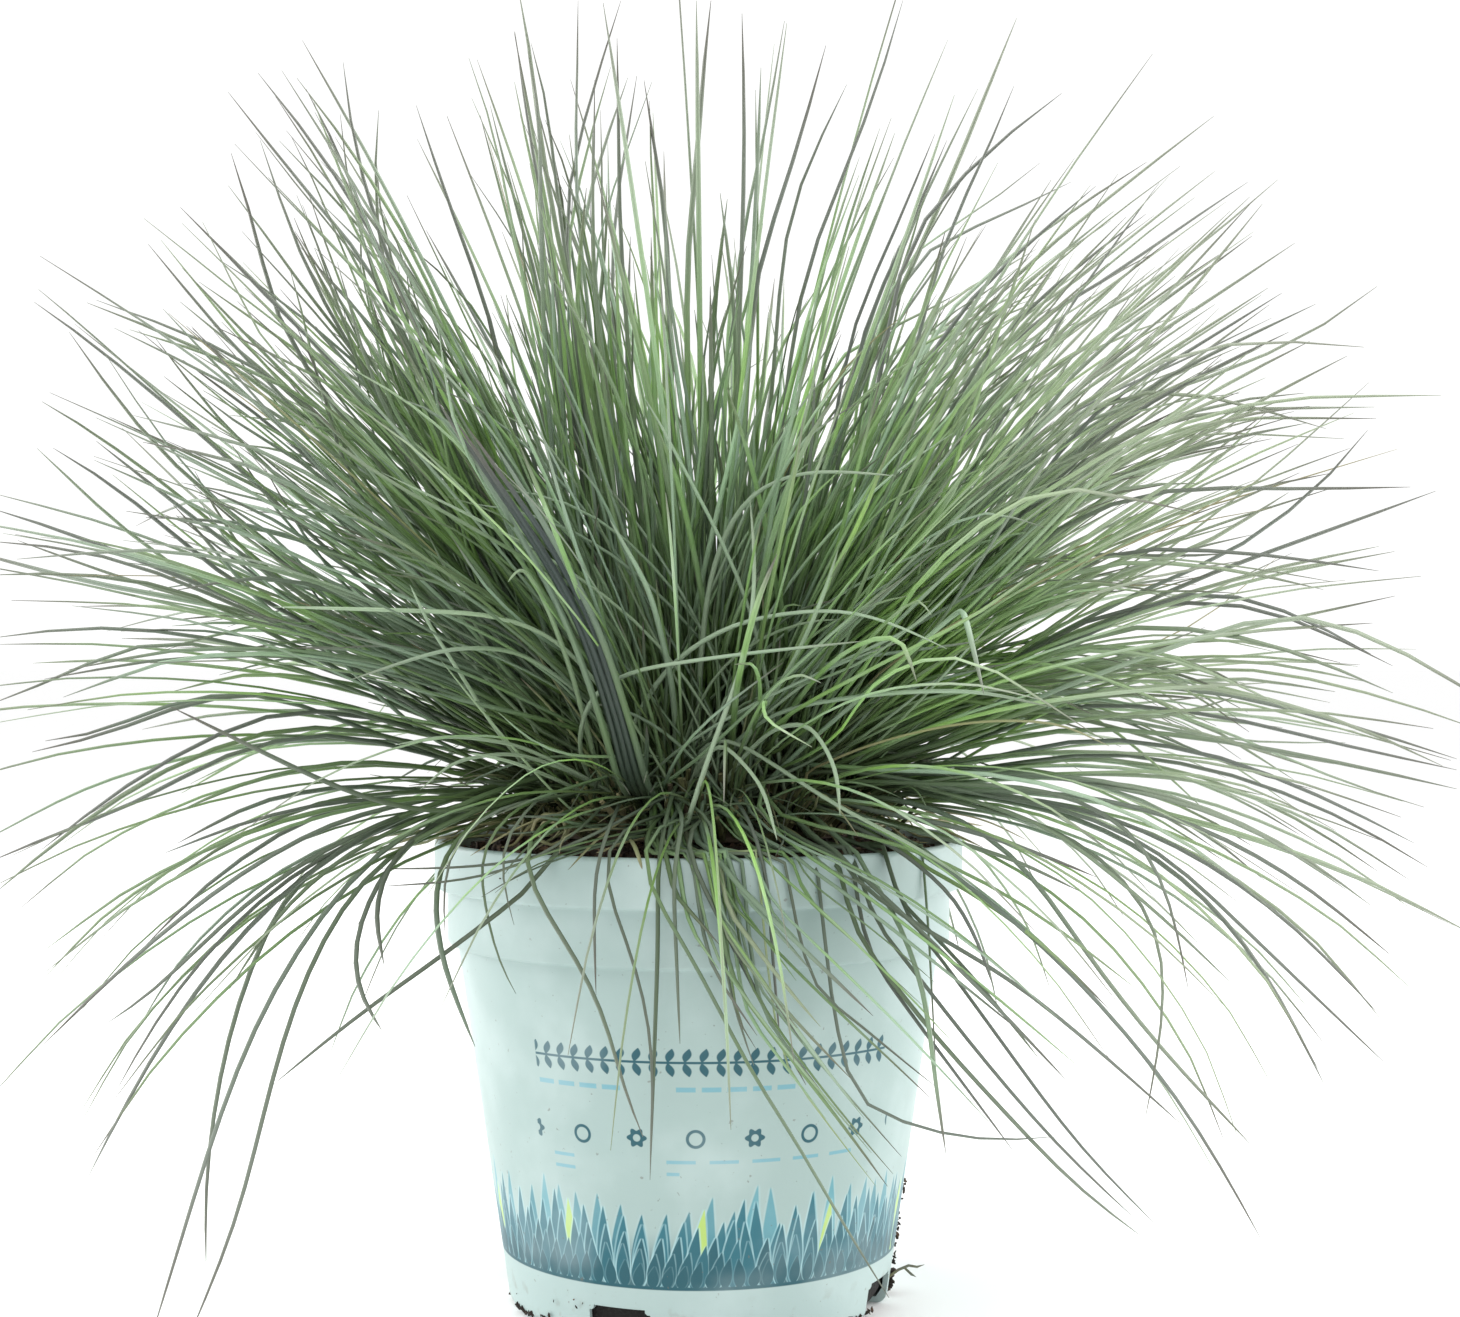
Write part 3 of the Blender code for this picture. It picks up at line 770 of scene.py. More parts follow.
class Print(Finish):
    """The pot's plastic with its print, placed by the angle round the pot and the height up it."""

    def __init__(self, pot):
        super().__init__("aqua_plastic")
        self.pot = pot
        self.x, self.y, self.z = self.parts(self.place())
        self.angle = self.math("ARCTAN2", self.x, self.both(self.y, -1.0))
        self.up = self.both(self.z, 1000.0)
        self.colour = pot.plastic

    def band(self, value, low, high, soft):
        """1 between low and high, with soft edges."""
        rise = self.ease(value, low - soft, low + soft)
        return self.both(rise, self.ease(value, high + soft, high - soft))

    def front(self, edges):
        """1 between two edges in degrees round the pot from its front."""
        return self.band(self.angle, *(math.radians(edge) for edge in edges), FRONT_SOFTNESS)

    def ink(self, mask, colour):
        """Lay a colour over all that is printed so far."""
        self.colour = self.mix(mask, self.colour, colour)

    def columns(self, count, offset):
        """Number of a column round the pot and the place across it, from -0.5 to 0.5."""
        turns = self.math("MULTIPLY_ADD", self.angle, count / FULL_TURN, offset)
        number = self.math("FLOOR", turns)
        across = self.minus(self.minus(turns, number), 0.5)
        return number, across

    def leaf_row(self, count, offset, tall, inks, outline, lime_every=0):
        """Row of pointed leaves side by side on the band's foot, with pale outlines of print and
        painted highlight.
        """
        number, across = self.columns(count, offset)
        chance = self.hash(number)
        other = self.hash(self.math("ADD", number, 0.37))
        height = self.math("MULTIPLY_ADD", chance, 0.35 * tall, 0.75 * tall)
        share = self.math("DIVIDE", self.minus(self.up, BAND_FOOT), height)
        lean = self.both(self.minus(other, 0.3), share, share)
        place = self.minus(across, self.both(lean, 0.5))
        bulge = self.math("SINE", self.both(self.math("POWER", share, 0.7), math.pi))
        half = self.both(bulge, 0.4)
        edge = self.minus(self.math("ABSOLUTE", place), half)
        standing = self.band(share, 0.02, 0.985, 0.02)
        # The pale outline is print that also stands in for painted highlight streaks
        outline_and_highlight = self.both(self.ease(edge, 0.12, 0.06), standing)
        self.ink(self.both(outline_and_highlight, outline), self.pot.pale_ink_and_highlight)
        tone = self.mix(chance, *inks)
        if lime_every:
            lime = self.math("COMPARE", self.math("MODULO", number, float(lime_every)), 0.0, 0.1)
            tone = self.mix(lime, tone, self.pot.lime_ink)
        self.ink(self.both(self.ease(edge, 0.03, -0.03), standing), tone)

    def band_of_leaves(self):
        """Five rows of leaves, each before and lower than the last, over a dark ground."""
        deep, blue = self.pot.deep_ink, self.pot.blue_ink
        self.leaf_row(62, 0.1, 23.0, (blue, FAR_INK), 0.2)
        low = self.both(self.ease(self.up, *BAND_EASE), self.ease(self.up, 28.0, 16.0))
        self.ink(self.both(low, 0.9), deep)
        self.leaf_row(70, 0.4, 20.0, (blue, blue), 0.42, lime_every=7)
        self.leaf_row(76, 0.7, 15.5, (deep, blue), 0.55)
        self.leaf_row(84, 0.2, 11.0, (deep, blue), 0.3)
        self.leaf_row(92, 0.5, 7.0, (deep, deep), 0.12)
        self.ink(self.band(self.up, BAND_FOOT - 0.3, BAND_FOOT + 0.5, 0.15), deep)

    def garland(self):
        """Twig with small leaves on both sides."""
        front = self.front(GARLAND_EDGES)
        across = self.columns(GARLAND_LEAVES, 0.0)[1]
        side = self.minus(self.up, GARLAND_HEIGHT)
        slant = self.both(self.math("ABSOLUTE", side), 0.085)
        bent = self.minus(across, self.minus(slant, 0.14))
        share = self.math("DIVIDE", self.math("ABSOLUTE", side), GARLAND_LEAF_LENGTH)
        bulge = self.math("SINE", self.both(share, math.pi))
        half = self.both(bulge, 0.26)
        edge = self.minus(self.math("ABSOLUTE", bent), half)
        along_leaf = self.band(share, 0.05, 0.98, 0.03)
        self.ink(self.both(front, self.ease(edge, 0.04, -0.04), along_leaf), self.pot.deep_ink)
        self.ink(self.both(front, self.band(side, -0.28, 0.28, 0.08)), self.pot.deep_ink)

    def rule(self, height, thick, edges, count, gap):
        """Broken line, with a few of its dashes left out."""
        number, across = self.columns(count, 0.0)
        dash = self.ease(across, -0.5 + gap, -0.46 + gap)
        kept = self.math("GREATER_THAN", self.hash(number), 0.12)
        line = self.band(self.up, height - thick, height + thick, 0.12)
        self.ink(self.both(self.front(edges), dash, kept, line), RULE_INK)

    def rosettes(self):
        """Plain rings and rosettes in turn in a row."""
        number, across = self.columns(ROSETTE_PLACES, 0.5)
        x = self.both(across, FULL_TURN * ROSETTE_RADIUS / ROSETTE_PLACES)
        y = self.minus(self.up, ROSETTE_HEIGHT)
        spread = self.math("SQRT", self.math("ADD", self.both(x, x), self.both(y, y)))
        lobes = self.math("COSINE", self.both(self.math("ARCTAN2", y, x), 6.0))
        edge = self.math("MULTIPLY_ADD", lobes, 0.35, 2.0)
        petals = self.ease(self.minus(spread, edge), 0.12, -0.12)
        core = self.ease(spread, 0.75, 0.95)
        ring = self.band(spread, 1.5, 2.2, 0.12)
        even = self.math("COMPARE", self.math("MODULO", number, 2.0), 0.0, 0.1)
        odd = self.minus(1.0, even)
        shape = self.math("ADD", self.both(petals, core, odd), self.both(ring, even))
        self.ink(self.both(self.front(ROSETTE_EDGES), shape), self.pot.deep_ink)

    def build(self):
        """Print the outer face, soil it and hand out the material."""
        self.ink(self.ease(self.up, *BAND_EASE), self.pot.ground)
        self.band_of_leaves()
        self.garland()
        self.rosettes()
        for row in RULES:
            self.rule(*row)
        squares = self.math("ADD", self.both(self.x, self.x), self.both(self.y, self.y))
        inner = self.math("MULTIPLY_ADD", self.z, *OUTER_CONE)
        outer = self.math("GREATER_THAN", self.math("SQRT", squares), inner)
        self.colour = self.mix(outer, self.pot.plastic, self.colour)
        cloud = self.noise(38.0, 4.0)
        self.ink(self.both(self.ease(cloud, 0.45, 0.75), 0.16), SCUFF)
        low = self.ease(self.up, 14.0, 0.0)
        dust = self.both(low, self.ease(self.noise(210.0, 6.0), 0.56, 0.68))
        self.ink(self.both(dust, 0.55), DUST)
        speck = self.ease(self.noise(700.0, 2.0), 0.71, 0.75)
        self.ink(self.both(speck, 0.5), SPECK)
        gloss = self.math("MULTIPLY_ADD", cloud, 0.16, 0.34)
        self.relief(self.noise(1500.0, 2.0), 0.00004, 0.5)
        return self.set(base_color=self.colour, roughness=gloss)


class FESCUE_OT_pot(bpy.types.Operator):
    """Turn the pot, cut its drain slots and print its outer face."""
    bl_idname = "fescue.pot"
    bl_label = "Pot"

    def execute(self, context):
        pot = context.scene.fescue_pot
        piece = add_piece("nursery_pot", turned(pot_outline(pot), POT_SIDES), Print(pot).build())
        cutters = []
        for number in range(SLOT_COUNT):
            angle = math.radians(FIRST_SLOT_DEG + 360.0 * number / SLOT_COUNT - 90.0)
            bm = bmesh.new()
            bmesh.ops.create_cube(bm, size=1.0)
            size = Vector((SLOT_DEPTH, SLOT_WIDTH, 2.0 * SLOT_HEIGHT))
            bmesh.ops.scale(bm, vec=size, verts=bm.verts)
            uprights = [e for e in bm.edges if abs(e.verts[0].co.x - e.verts[1].co.x) > EDGE]
            bmesh.ops.bevel(bm, geom=uprights, offset=SLOT_ROUNDING, segments=3, affect="EDGES")
            place = Matrix.Rotation(angle, 4, "Z") @ Matrix.Translation((FOOT_RADIUS, 0.0, 0.0))
            bmesh.ops.transform(bm, matrix=place, verts=bm.verts)
            mesh = bpy.data.meshes.new("slot")
            bm.to_mesh(mesh)
            bm.free()
            cutters.append(add_piece(f"slot_cutter_{number + 1}", mesh))
            cut = piece.modifiers.new("slot", "BOOLEAN")
            cut.operation = "DIFFERENCE"
            cut.solver = "EXACT"
            cut.object = cutters[-1]
        bake_modifiers(piece)
        for cutter in cutters:
            bpy.data.objects.remove(cutter, do_unlink=True)
        piece.data.shade_smooth()
        piece.data.set_sharp_from_angle(angle=math.radians(SHARP_ANGLE_DEG))
        declare(piece, "pot", "pot")
        return {"FINISHED"}


# Potting mix and crown

def make_soil_finish(soil):
    """Dark damp mix with brown chips; low in the pot the mix is darkened as painted shade, not
    where it sticks to the pot's foot.
    """
    finish = Finish("potting_mix")
    place = finish.place()
    shade = finish.attribute("shade")
    grain = finish.noise(900.0, 5.0, place)
    damp = finish.noise(120.0, 3.0, place)
    colour = finish.mix(finish.ease(grain, 0.42, 0.72), soil.peat, soil.bark)
    colour = finish.mix(finish.ease(shade, 0.55, 1.0), colour, CHIP_BROWN)
    colour = finish.mix(finish.ease(damp, 0.62, 0.4), colour, DAMP_BROWN)
    height = finish.parts(place)[2]
    # Painted shade: the mix low in the pot, seen through the drain slots, turns near black
    slot_shade = finish.both(finish.ease(height, 0.03, 0.012), finish.attribute("bulk"))
    colour = finish.mix(slot_shade, colour, SLOT_SHADE_BLACK)
    finish.relief(grain, 0.0006, 0.8)
    return finish.set(base_color=colour, roughness=0.93)


def make_crown_finish(leaf):
    """Streaked olive leaf bases, some of them straw and some brown."""
    finish = Finish("leaf_bases")
    streak = finish.noise(420.0, 4.0)
    shade = finish.attribute("shade")
    colour = finish.mix(finish.ease(streak, 0.35, 0.65), BASE_SHADE, leaf.olive)
    colour = finish.mix(finish.ease(shade, 0.72, 0.95), colour, leaf.straw)
    colour = finish.mix(finish.ease(shade, 0.2, 0.05), colour, DEAD_BROWN)
    finish.relief(streak, 0.0003, 0.7)
    return finish.set(base_color=colour, roughness=0.82)


def new_tree(name, extra_inputs):
    """A Geometry Nodes tree with one geometry input, the extra inputs and one geometry output."""
    tree = bpy.data.node_groups.new(name, "GeometryNodeTree")
    tree.interface.new_socket(name="Geometry", in_out="INPUT", socket_type="NodeSocketGeometry")
    for label, kind in extra_inputs:
        tree.interface.new_socket(name=label, in_out="INPUT", socket_type=kind)
    tree.interface.new_socket(name="Geometry", in_out="OUTPUT", socket_type="NodeSocketGeometry")
    sheet = NodeSheet(tree)
    start = sheet.add("NodeGroupInput").outputs
    return tree, sheet, start


def apply_tree(piece, tree, values):
    """Run a tree on an object with the given inputs and keep the result as a plain mesh."""
    modifier = piece.modifiers.new(tree.name, "NODES")
    modifier.node_group = tree
    for item in tree.interface.items_tree:
        if item.item_type == "SOCKET" and item.in_out == "INPUT" and item.name in values:
            modifier[item.identifier] = values[item.name]
    bake_modifiers(piece)


def finish_tree(sheet, geometry, material):
    """Realise, set the material and hand out the geometry."""
    real = sheet.add("GeometryNodeRealizeInstances", {0: geometry}).outputs[0]
    dressed = sheet.add("GeometryNodeSetMaterial", {"Geometry": real, "Material": material})
    output = sheet.add("NodeGroupOutput")
    sheet.feed(output.inputs[0], dressed.outputs[0])


def random_value(sheet, low, high, seed):
    """Random number between two numbers, or random vector between two vectors."""
    if isinstance(low, tuple):
        node = sheet.add("FunctionNodeRandomValue", {0: low, 1: high, 8: seed},
                         data_type="FLOAT_VECTOR")
        return node.outputs[0]
    return sheet.add("FunctionNodeRandomValue", {2: low, 3: high, 8: seed},
                     data_type="FLOAT").outputs[1]


def rough_ball(sheet, place, radius, subdivisions, scale, detail, swing):
    """Ball with its points pushed about by noise."""
    ball = sheet.add("GeometryNodeMeshIcoSphere", {"Radius": radius, "Subdivisions": subdivisions})
    rough = sheet.add("ShaderNodeTexNoise", {"Vector": place, "Scale": scale, "Detail": detail})
    centred = sheet.vector("SUBTRACT", rough.outputs["Color"], (0.5, 0.5, 0.5))
    offset = sheet.scaled(centred, swing)
    pushed = sheet.add("GeometryNodeSetPosition", {"Geometry": ball.outputs[0], "Offset": offset})
    return pushed.outputs[0]


def placed_on(sheet, points, shape, turn, size, shade):
    """Instances of a shape on points, each with a shade of its own."""
    placed = sheet.add("GeometryNodeInstanceOnPoints",
                       {"Points": points, "Instance": shape, "Rotation": turn, "Scale": size})
    stored = sheet.add("GeometryNodeStoreNamedAttribute",
                       {"Geometry": placed.outputs[0], "Name": "shade", "Value": shade},
                       data_type="FLOAT", domain="INSTANCE")
    return stored.outputs[0]


def joined(sheet, *layers):
    """All layers as one geometry."""
    node = sheet.add("GeometryNodeJoinGeometry")
    for layer in layers:
        sheet.feed(node.inputs[0], layer)
    return node.outputs[0]


def make_litter_tree():
    """Tree that strews crumbs, bark chips and fibres on the upward faces of the potting mix."""
    inputs = (("Crumb Density", "NodeSocketFloat"), ("Chip Density", "NodeSocketFloat"),
              ("Seed", "NodeSocketInt"), ("Material", "NodeSocketMaterial"))
    tree, sheet, start = new_tree("soil_litter", inputs)
    facing = sheet.parts(sheet.add("GeometryNodeInputNormal").outputs[0])[2]
    place = sheet.add("GeometryNodeInputPosition").outputs[0]
    top = sheet.both(sheet.math("GREATER_THAN", facing, 0.6),
                     sheet.math("GREATER_THAN", sheet.parts(place)[2], SOIL_EDGE_HEIGHT - 0.003))
    crumb = rough_ball(sheet, place, 1.1, 1, 1.3, 1.0, 1.0)
    block = sheet.add("GeometryNodeMeshCube", {"Size": (2.0, 1.1, 0.5)}).outputs[0]
    fibre = sheet.add("GeometryNodeMeshCylinder", {"Vertices": 5, "Radius": 0.1, "Depth": 4.0},
                      fill_type="TRIANGLE_FAN").outputs[0]
    lying = ((1.3, 0.0, 0.0), (1.8, 0.0, 6.28))
    kinds = ((crumb, start["Crumb Density"], (0.00045, 0.0012), ANY_TURN),
             (block, start["Chip Density"], (0.0009, 0.0021), ANY_TURN),
             (fibre, start["Chip Density"], (0.0010, 0.0018), lying))
    layers = []
    for number, (shape, density, sizes, turns) in enumerate(kinds, 1):
        strewn = sheet.add("GeometryNodeDistributePointsOnFaces",
                           {"Mesh": start["Geometry"], "Selection": top, "Density": density,
                            "Seed": sheet.math("ADD", start["Seed"], float(number))})
        size = random_value(sheet, *sizes, number + 10)
        turn = random_value(sheet, *turns, number + 20)
        shade = random_value(sheet, 0.0, 1.0, number + 30)
        layers.append(placed_on(sheet, strewn.outputs[0], shape, turn, size, shade))
    finish_tree(sheet, joined(sheet, *layers, start["Geometry"]), start["Material"])
    return tree


def make_stub_tree():
    """Tree that packs short leaf bases over the crown, leaning outward."""
    inputs = (("Stub Density", "NodeSocketFloat"), ("Seed", "NodeSocketInt"),
              ("Material", "NodeSocketMaterial"))
    tree, sheet, start = new_tree("leaf_bases", inputs)
    place = sheet.add("GeometryNodeInputPosition").outputs[0]
    facing = sheet.parts(sheet.add("GeometryNodeInputNormal").outputs[0])[2]
    top = sheet.math("GREATER_THAN", facing, 0.2)
    strewn = sheet.add("GeometryNodeDistributePointsOnFaces",
                       {"Mesh": start["Geometry"], "Selection": top,
                        "Density": start["Stub Density"], "Seed": start["Seed"]})
    outward = sheet.vector("SUBTRACT", place, (0.0, 0.0, 0.09))
    tilt = random_value(sheet, (-0.012, -0.012, 0.0), (0.012, 0.012, 0.012), 5)
    lean = sheet.vector("ADD", outward, tilt)
    aim = sheet.add("FunctionNodeAlignRotationToVector", {"Vector": lean}, axis="Z").outputs[0]
    stub = sheet.add("GeometryNodeMeshCone",
                     {"Vertices": 6, "Side Segments": 3, "Radius Top": 0.0005,
                      "Radius Bottom": 0.0010, "Depth": 0.009}).outputs[0]
    size = random_value(sheet, (0.6, 0.6, 0.4), (1.2, 1.2, 1.5), 6)
    shade = random_value(sheet, 0.0, 1.0, 7)
    stubs = placed_on(sheet, strewn.outputs[0], stub, aim, size, shade)
    finish_tree(sheet, joined(sheet, stubs, start["Geometry"]), start["Material"])
    return tree


def uneven(mesh, amount, scale, lowest):
    """Push the upper surface of a turned mesh up and down by smooth noise."""
    for vertex in mesh.vertices:
        if vertex.co.z > lowest:
            lift = noise.noise(vertex.co * scale) + 0.5 * noise.noise(vertex.co * scale * 2.7)
            vertex.co.z += amount * lift


class FESCUE_OT_soil(bpy.types.Operator):
    """Fill the pot with potting mix and strew it with crumbs, chips and fibres."""
    bl_idname = "fescue.soil"
    bl_label = "Potting Mix"

    def execute(self, context):
        soil = context.scene.fescue_soil
        pot = context.scene.fescue_pot
        wall, gap = pot.wall, FIT_GAP
        inner = pot.rim_radius - 2.0 * wall - 2.0 * gap
        neck_base = pot.height - RIM_DEPTH - NECK_DEPTH
        outline = [
            (0.0, POT_FLOOR + gap),
            (FOOT_RADIUS - FOOT_ROUNDING - 2.0 * gap, POT_FLOOR + gap),
            (FOOT_RADIUS - wall - 2.0 * gap, FOOT_ROUNDING + wall + gap),
            (SHOULDER_RADIUS - wall - 2.0 * gap, neck_base + gap),
            (NECK_RADIUS - wall - 2.0 * gap, neck_base + wall + EDGE + gap),
            (NECK_RADIUS - wall - 2.0 * gap, pot.height - RIM_DEPTH + EDGE + gap),
            (inner, pot.height - RIM_DEPTH + wall + EDGE + 2.0 * gap),
            (inner, SOIL_EDGE_HEIGHT - 0.0025),
        ]
        for step in range(SOIL_STEPS):
            radius = inner * (1.0 - step / SOIL_STEPS)
            bank = SOIL_EDGE_HEIGHT + 0.6 * (inner - radius) + 0.0004
            outline.append((radius, min(soil_height(radius), bank)))
        outline.append((0.0, SOIL_MIDDLE_HEIGHT))
        mesh = turned(outline, SOIL_SIDES)
        uneven(mesh, *SOIL_BUMPS, SOIL_EDGE_HEIGHT - 0.001)
        for name, value in (("shade", 0.3), ("bulk", 1.0)):
            attribute = mesh.attributes.new(name, "FLOAT", "POINT")
            attribute.data.foreach_set("value", [value] * len(mesh.vertices))
        mesh.shade_smooth()
        piece = add_piece("potting_mix", mesh)
        values = {"Crumb Density": soil.crumb_density, "Chip Density": soil.chip_density, "Seed": 3,
                  "Material": make_soil_finish(soil)}
        apply_tree(piece, make_litter_tree(), values)
        declare(piece, "soil", "soil")
        return {"FINISHED"}


class FESCUE_OT_crown(bpy.types.Operator):
    """Raise the crown and pack it with short leaf bases."""
    bl_idname = "fescue.crown"
    bl_label = "Crown"

    def execute(self, context):
        radius = CROWN_BOX[1][0]
        outline = [(0.0, SOIL_MIDDLE_HEIGHT + FIT_GAP)]
        outline += [(ring, soil_height(ring) + FIT_GAP) for ring in (0.014, 0.027, 0.040)]
        for step in range(CROWN_STEPS):
            ring = radius * (1.0 - step / CROWN_STEPS)
            outline.append((ring, crown_height(ring)))
        outline.append((0.0, CROWN_BOX[1][2]))
        mesh = turned(outline, CROWN_SIDES)
        uneven(mesh, *CROWN_BUMPS, CROWN_EDGE_HEIGHT)
        mesh.shade_smooth()
        piece = add_piece("crown_base", mesh)
        values = {"Stub Density": context.scene.fescue_soil.stub_density, "Seed": 4,
                  "Material": make_crown_finish(context.scene.fescue_leaf)}
        apply_tree(piece, make_stub_tree(), values)
        declare(piece, "crown", "crown")
        return {"FINISHED"}


# Leaves

def solid_midlines(node):
    """Midlines of a tiller's solid leaves, each from the sheath's mouth to the tip."""
    bm = bmesh.new()
    bm.from_mesh(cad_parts[node].data)
    bmesh.ops.remove_doubles(bm, verts=bm.verts, dist=0.00001)
    bm.verts.index_update()
    midlines = []
    for tip in [vertex for vertex in bm.verts if len(vertex.link_edges) == 3]:
        seen = {tip}
        ring = [edge.other_vert(tip) for edge in tip.link_edges]
        path = [tip.co.copy()]
        while len(ring) == 3:
            path.append(sum((vertex.co for vertex in ring), Vector()) / 3.0)
            seen.update(ring)
            around = {edge.other_vert(vertex) for vertex in ring for edge in vertex.link_edges}
            ring = sorted(around - seen, key=lambda vertex: vertex.index)
        midlines.append(path[::-1])
    bm.free()
    return sorted(midlines, key=lambda path: math.atan2(path[-1].y, path[-1].x))


def along(path, share):
    """Point on a smooth curve through a path, at a share of the way."""
    position = min(max(share, 0.0), 0.9999) * (len(path) - 1)
    index = int(position)
    rest = position - index
    p1, p2 = path[index], path[index + 1]
    p0 = path[index - 1] if index > 0 else p1 + (p1 - p2)
    p3 = path[index + 2] if index + 2 < len(path) else p2 + (p2 - p1)
    curve = p1 * 2.0 + (p2 - p0) * rest + (p0 * 2.0 - p1 * 5.0 + p2 * 4.0 - p3) * rest ** 2
    return (curve + (p1 * 3.0 - p0 - p2 * 3.0 + p3) * rest ** 3) * 0.5


def spaced(line, count):
    """Evenly spaced points along a bent line."""
    travelled = [0.0]
    for first, second in zip(line, line[1:]):
        travelled.append(travelled[-1] + (second - first).length)
    points = []
    index = 0
    for step in range(count + 1):
        goal = travelled[-1] * step / count
        while index < len(line) - 2 and travelled[index + 1] < goal:
            index += 1
        gap = travelled[index + 1] - travelled[index]
        points.append(line[index].lerp(line[index + 1], (goal - travelled[index]) / gap))
    return points


def soften(line, rounds):
    """Round off the corners of a line of evenly spaced points between its fixed ends."""
    for smoothing in range(rounds):
        middle = [(a + b * 2.0 + c) / 4.0 for a, b, c in zip(line, line[1:], line[2:])]
        line = [line[0]] + middle + [line[-1]]
    return line


def resample(path, count):
    """Evenly spaced points on the smooth curve through a path."""
    return spaced([along(path, step / 80.0) for step in range(81)], count)


def pot_radius(height):
    """Outer radius of the pot at a height."""
    if height > POT_BOX[1][2] - RIM_DEPTH:
        return POT_BOX[1][0]
    if height > POT_BOX[1][2] - RIM_DEPTH - NECK_DEPTH:
        return NECK_RADIUS
    rise = POT_BOX[1][2] - RIM_DEPTH - NECK_DEPTH
    return FOOT_RADIUS + (SHOULDER_RADIUS - FOOT_RADIUS) * max(height, 0.0) / rise


def clear_of_pot(path):
    """Lift points over the rim or push them off the wall; say whether any was moved."""
    outside = False
    moved = False
    for place in path:
        radius = math.hypot(place.x, place.y)
        before = place.copy()
        outside = outside or radius > POT_BOX[1][0] + RIM_LIFT
        if outside:
            needed = pot_radius(place.z) + RIM_LIFT
            if place.z < POT_BOX[1][2] + RIM_LIFT and radius < needed:
                place.x *= needed / radius
                place.y *= needed / radius
        elif radius > 0.8 * POT_BOX[1][0]:
            place.z = max(place.z, POT_BOX[1][2] + RIM_LIFT)
        else:
            place.z = max(place.z, soil_height(radius) + SOIL_LIFT)
        place.z = max(place.z, GROUND_GAP)
        moved = moved or (place - before).length > 0.0002
    return moved


def settle(path, steps):
    """Keep a leaf off the pot and the ground and inside the clump's box."""
    fine = resample(path, SETTLING_STEPS)
    moved = clear_of_pot(fine)
    if moved:
        for smoothing in range(4):
            fine = soften(fine, 1)
            clear_of_pot(fine)
    shrink = 1.0
    for place in fine:
        for axis in range(3):
            ahead = place[axis] > fine[0][axis]
            room = CAD_BOX[1][axis] - BOX_MARGIN if ahead else CAD_BOX[0][axis] + BOX_MARGIN
            reach = place[axis] - fine[0][axis]
            if abs(reach) > abs(room - fine[0][axis]):
                shrink = min(shrink, abs(room - fine[0][axis]) / abs(reach))
    fine = [fine[0].lerp(place, shrink) for place in fine]
    return resample(fine, RIM_LEAF_STEPS if moved else steps)


class Tuft:
    """Midlines, widths and tones of the leaves that make up one piece."""

    def __init__(self, rng, width):
        self.rng = rng
        self.width = width
        self.leaves = []
        self.cast = rng.uniform(0.1, 0.9)
        self.slate = 0.05
        self.spread = LEAF_SPREAD

    def add(self, path, scale=1.0, wither=0.0, steps=LEAF_STEPS):
        tone = clamped(self.rng.gauss(self.cast, 0.25))
        slate = self.slate
        if 0.0 <= slate < 1.0:
            slate = min(max(self.rng.gauss(slate, 0.2), 0.0), 0.85)
        half = 0.5 * self.width * scale * self.rng.uniform(*self.spread)
        self.leaves.append((settle(path, steps), half, tone, slate, wither))

    def guides(self, name):
        """Mesh of open polylines that carries each leaf's measures as attributes."""
        points, edges = [], []
        values = {key: [] for key in ("along", "half_width", "tone", "slate", "wither", "lane")}
        for lane, (path, half, tone, slate, wither) in enumerate(self.leaves):
            first = len(points)
            points += path
            edges += [(first + step, first + step + 1) for step in range(len(path) - 1)]
            for step in range(len(path)):
                share = step / (len(path) - 1)
                point = (1.0 - share ** 8) ** 0.6
                taper = min(1.0, 0.8 + 2.0 * share) * point * (1.0 - 0.14 * share)
                values["along"].append(share)
                values["half_width"].append(max(half * taper, THINNEST))
                values["tone"].append(tone)
                values["slate"].append(slate)
                values["wither"].append(wither)
                values["lane"].append(lane / len(self.leaves))
        mesh = bpy.data.meshes.new(name)
        mesh.from_pydata(points, edges, [])
        for key, numbers in values.items():
            mesh.attributes.new(key, "FLOAT", "POINT").data.foreach_set("value", numbers)
        return mesh


def new_tuft(context, offset):
    """Empty tuft with random numbers of its own, those numbers and the stage's measures."""
    leaf = context.scene.fescue_leaf
    rng = random.Random(leaf.seed + offset)
    return Tuft(rng, leaf.width), rng, context.scene.fescue_stage


